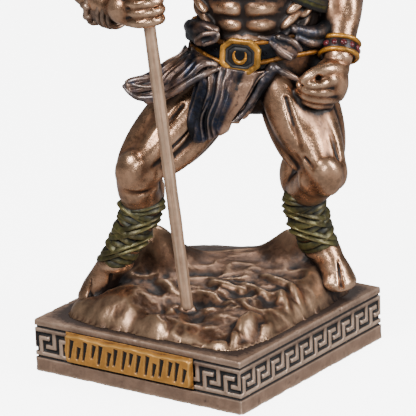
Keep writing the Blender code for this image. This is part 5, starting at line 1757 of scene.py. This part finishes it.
# Each blade is a thin plate that spreads to a curved edge, with a ground bevel and a raised border.
axe_steel = painted(
    "axe_steel", (0.03, 0.022, 0.018), (0.3, 0.24, 0.2), (0.66, 0.55, 0.46),
    metallic=0.9, roughness=0.3, layers=(0.56, 0.8, 0.1, 0.08),
)
BLADE_REACH = 7.6
BLADE_SPREAD = 5.8
BLADE_GRID = 60
blades = []
for hand in (-1, 1):
    s, t = np.meshgrid(np.linspace(0, 1, BLADE_GRID), np.linspace(-1, 1, BLADE_GRID), indexing="ij")
    reach = 0.6 + (BLADE_REACH - 0.6) * s + 1.5 * (1 - t**2) * s**2 - 0.5 * s**3 * t**4
    spread = 1.9 + (BLADE_SPREAD - 1.9) * s**1.9
    up = t * spread
    from_edge = (1 - s) * BLADE_REACH
    thick = 0.95 * (1 - s) ** 0.6 + 0.28
    thick = np.where(from_edge < 1.7, np.minimum(thick, 0.04 + 0.36 * from_edge / 1.7), thick)
    border = np.exp(-(((from_edge - 2.1) / 0.28) ** 2))
    border += np.exp(-((((1 - abs(t)) * spread - 0.45) / 0.22) ** 2)) * (from_edge > 1.9)
    thick = thick + 0.12 * np.clip(border, 0, 1)
    thick = thick * np.clip((1 - abs(t)) * 6, 0, 1) ** 0.5 * np.clip((1 - s) * 12 + 0.04, 0, 1) ** 0.5 + 0.02
    points = np.concatenate(
        [np.stack([hand * reach, face * thick, up], -1).reshape(-1, 3) for face in (-1, 1)]
    )
    faces = slab_faces(BLADE_GRID, BLADE_GRID)
    placed = haft_at(AXE_UP) + points @ np.stack([lean, (0, 1, 0), (HAFT_LEAN, 0, 1)])
    blades.append((placed, faces if hand < 0 else faces[:, ::-1]))
points, faces = join(blades)
cast_on("axe_blades", points, faces, axe_steel, 5, slot="axe_bronze", replaces="battle_axe")
turns = np.arange(48) / 48 * 2 * math.pi


def turned_on_haft(name, steps):
    """A turned part on the haft, through steps of its height and radius."""
    way = np.cos(turns)[:, None] * lean + np.sin(turns)[:, None] * np.array((0, 1.0, 0))
    points, parts = lofted([haft_at(up) + out * way for up, out in steps])
    cast_on(name, points, parts, axe_steel, 3, slot="axe_bronze", replaces="battle_axe")


eye_half = [(-3.3, 0.9), (-3.3, 1.45), (-3.0, 1.62), (-2.5, 1.55), (-2.3, 1.75), (-1.9, 1.75), (-1.6, 1.55)]
eye_steps = eye_half + [(0, 1.75)] + [(-up, out) for up, out in eye_half[::-1]]
turned_on_haft("axe_eye", [(AXE_UP + up, out) for up, out in eye_steps])
cap_steps = ((-1.6, 0.9), (-1.6, 1.35), (-1.2, 1.45), (-0.6, 1.2), (0.1, 0.7), (0.45, 0.2))
turned_on_haft("axe_cap", [(HAFT_TOP + up, out) for up, out in cap_steps])

# The dark wash and painted shade: the paint that runs into every place where one form meets another,
# and a painted shade over broader places that forms shut in and under forms. How shut in each point is
# comes from one coarse block of the whole casting, with all the pieces sunk into it.
WASH_STEP = 0.5
WASH_LOW = np.array((-32.0, -32.0, -4.0))
WASH_COUNTS = (128, 128, 184)
WASH_NEAR = 2
# The far reach spreads painted shade over broad shut-in places, such as between the legs.
PAINTED_SHADE_FAR = 6
# The share of a flat, open place, to which every piece is levelled however thin it is.
WASH_AND_SHADE_LEVEL = 0.43
UNDERSIDE_PAINTED_SHADE = 0.13
# Each upright line through the block runs off the middle of its cells, so it meets no edge of a face.
LINE_SHIFT = 0.37


def block_place(points):
    """Places of the whole model, counted in cells from the block's corner."""
    flat = points.copy()
    flat[:, :2] = np.stack(to_stance(points[:, 0], points[:, 1]), 1)
    flat[:, 2] -= PLINTH_TOP
    return (flat - WASH_LOW) / WASH_STEP


def fill_block(made, points):
    """Marks the cells of the block that a piece fills, by counting its faces along each upright line."""
    mesh = made.data
    mesh.calc_loop_triangles()
    corners = np.empty(len(mesh.loop_triangles) * 3, np.int32)
    mesh.loop_triangles.foreach_get("vertices", corners)
    corner = block_place(points)[corners.reshape(-1, 3)]
    change = np.zeros((WASH_COUNTS[0], WASH_COUNTS[1], WASH_COUNTS[2] + 1), np.float32)
    low = np.ceil(corner[:, :, :2].min(1) - LINE_SHIFT).astype(int)
    high = np.floor(corner[:, :, :2].max(1) - LINE_SHIFT).astype(int)
    spans = high - low
    for span_x in range(spans[:, 0].max() + 1):
        for span_y in range(spans[:, 1].max() + 1):
            chosen = (spans[:, 0] >= span_x) & (spans[:, 1] >= span_y)
            t = corner[chosen]
            x = low[chosen, 0] + span_x
            y = low[chosen, 1] + span_y
            px, py = x + LINE_SHIFT, y + LINE_SHIFT
            (ax, ay), (bx, by), (cx, cy) = (t[:, k, :2].T for k in range(3))
            twice = (bx - ax) * (cy - ay) - (by - ay) * (cx - ax)
            twice = np.where(abs(twice) < 1e-9, 1e-9, twice)
            u = ((bx - px) * (cy - py) - (by - py) * (cx - px)) / twice
            v = ((cx - px) * (ay - py) - (cy - py) * (ax - px)) / twice
            w = 1 - u - v
            hit = (u >= 0) & (v >= 0) & (w > 0) & (x >= 0) & (y >= 0)
            hit &= (x < WASH_COUNTS[0]) & (y < WASH_COUNTS[1])
            z = (u * t[:, 0, 2] + v * t[:, 1, 2] + w * t[:, 2, 2])[hit]
            z = np.clip(np.ceil(z - 0.5).astype(int), 0, WASH_COUNTS[2])
            np.add.at(change, (x[hit], y[hit], z), -np.sign(twice[hit]))
    return np.clip(np.cumsum(change[:, :, :-1], 2), 0, 1)


block = np.zeros(WASH_COUNTS, np.float32)
for made, points in pieces.values():
    block = np.maximum(block, fill_block(made, points))


def spread_out(full, reach):
    """The block blurred twice by a box that reaches so many cells each way."""
    for axis in (0, 1, 2, 0, 1, 2):
        full = np.moveaxis(full, axis, 0)
        padded = np.concatenate([np.zeros((1, *full.shape[1:]), np.float32), np.cumsum(full, 0)])
        upper = np.minimum(np.arange(len(full)) + reach + 1, len(full))
        lower = np.maximum(np.arange(len(full)) - reach, 0)
        full = np.moveaxis((padded[upper] - padded[lower]) / (2 * reach + 1), 0, axis)
    return full


block = 0.55 * spread_out(block, WASH_NEAR) + 0.45 * spread_out(block, PAINTED_SHADE_FAR)
for made, points in pieces.values():
    place = np.clip(block_place(points) - 0.5, 0, np.array(WASH_COUNTS) - 1.001)
    cell = np.floor(place).astype(int)
    part = place - cell
    shade = np.zeros(len(points))
    for corner in range(8):
        step = np.array((corner & 1, corner >> 1 & 1, corner >> 2 & 1))
        weight = np.prod(np.where(step, part, 1 - part), axis=1)
        shade += weight * block[tuple((cell + step).T)]
    shade += WASH_AND_SHADE_LEVEL - np.percentile(shade, 20)
    # Painted shade: the undersides of forms are darkened, as if shaded from the lights above.
    normals = np.empty(len(points) * 3, np.float32)
    made.data.vertex_normals.foreach_get("vector", normals)
    shade += UNDERSIDE_PAINTED_SHADE * np.clip(-normals.reshape(-1, 3)[:, 2] - 0.05, 0, 1)
    made.data.attributes.new("shade", "FLOAT", "POINT").data.foreach_set("value", shade.astype(np.float32))

# A strip that runs the other way round its line comes out with its faces inward, so it is turned.
for made, _ in pieces.values():
    shell = bmesh.new()
    shell.from_mesh(made.data)
    if shell.calc_volume(signed=True) < 0:
        made.data.flip_normals()
    shell.free()
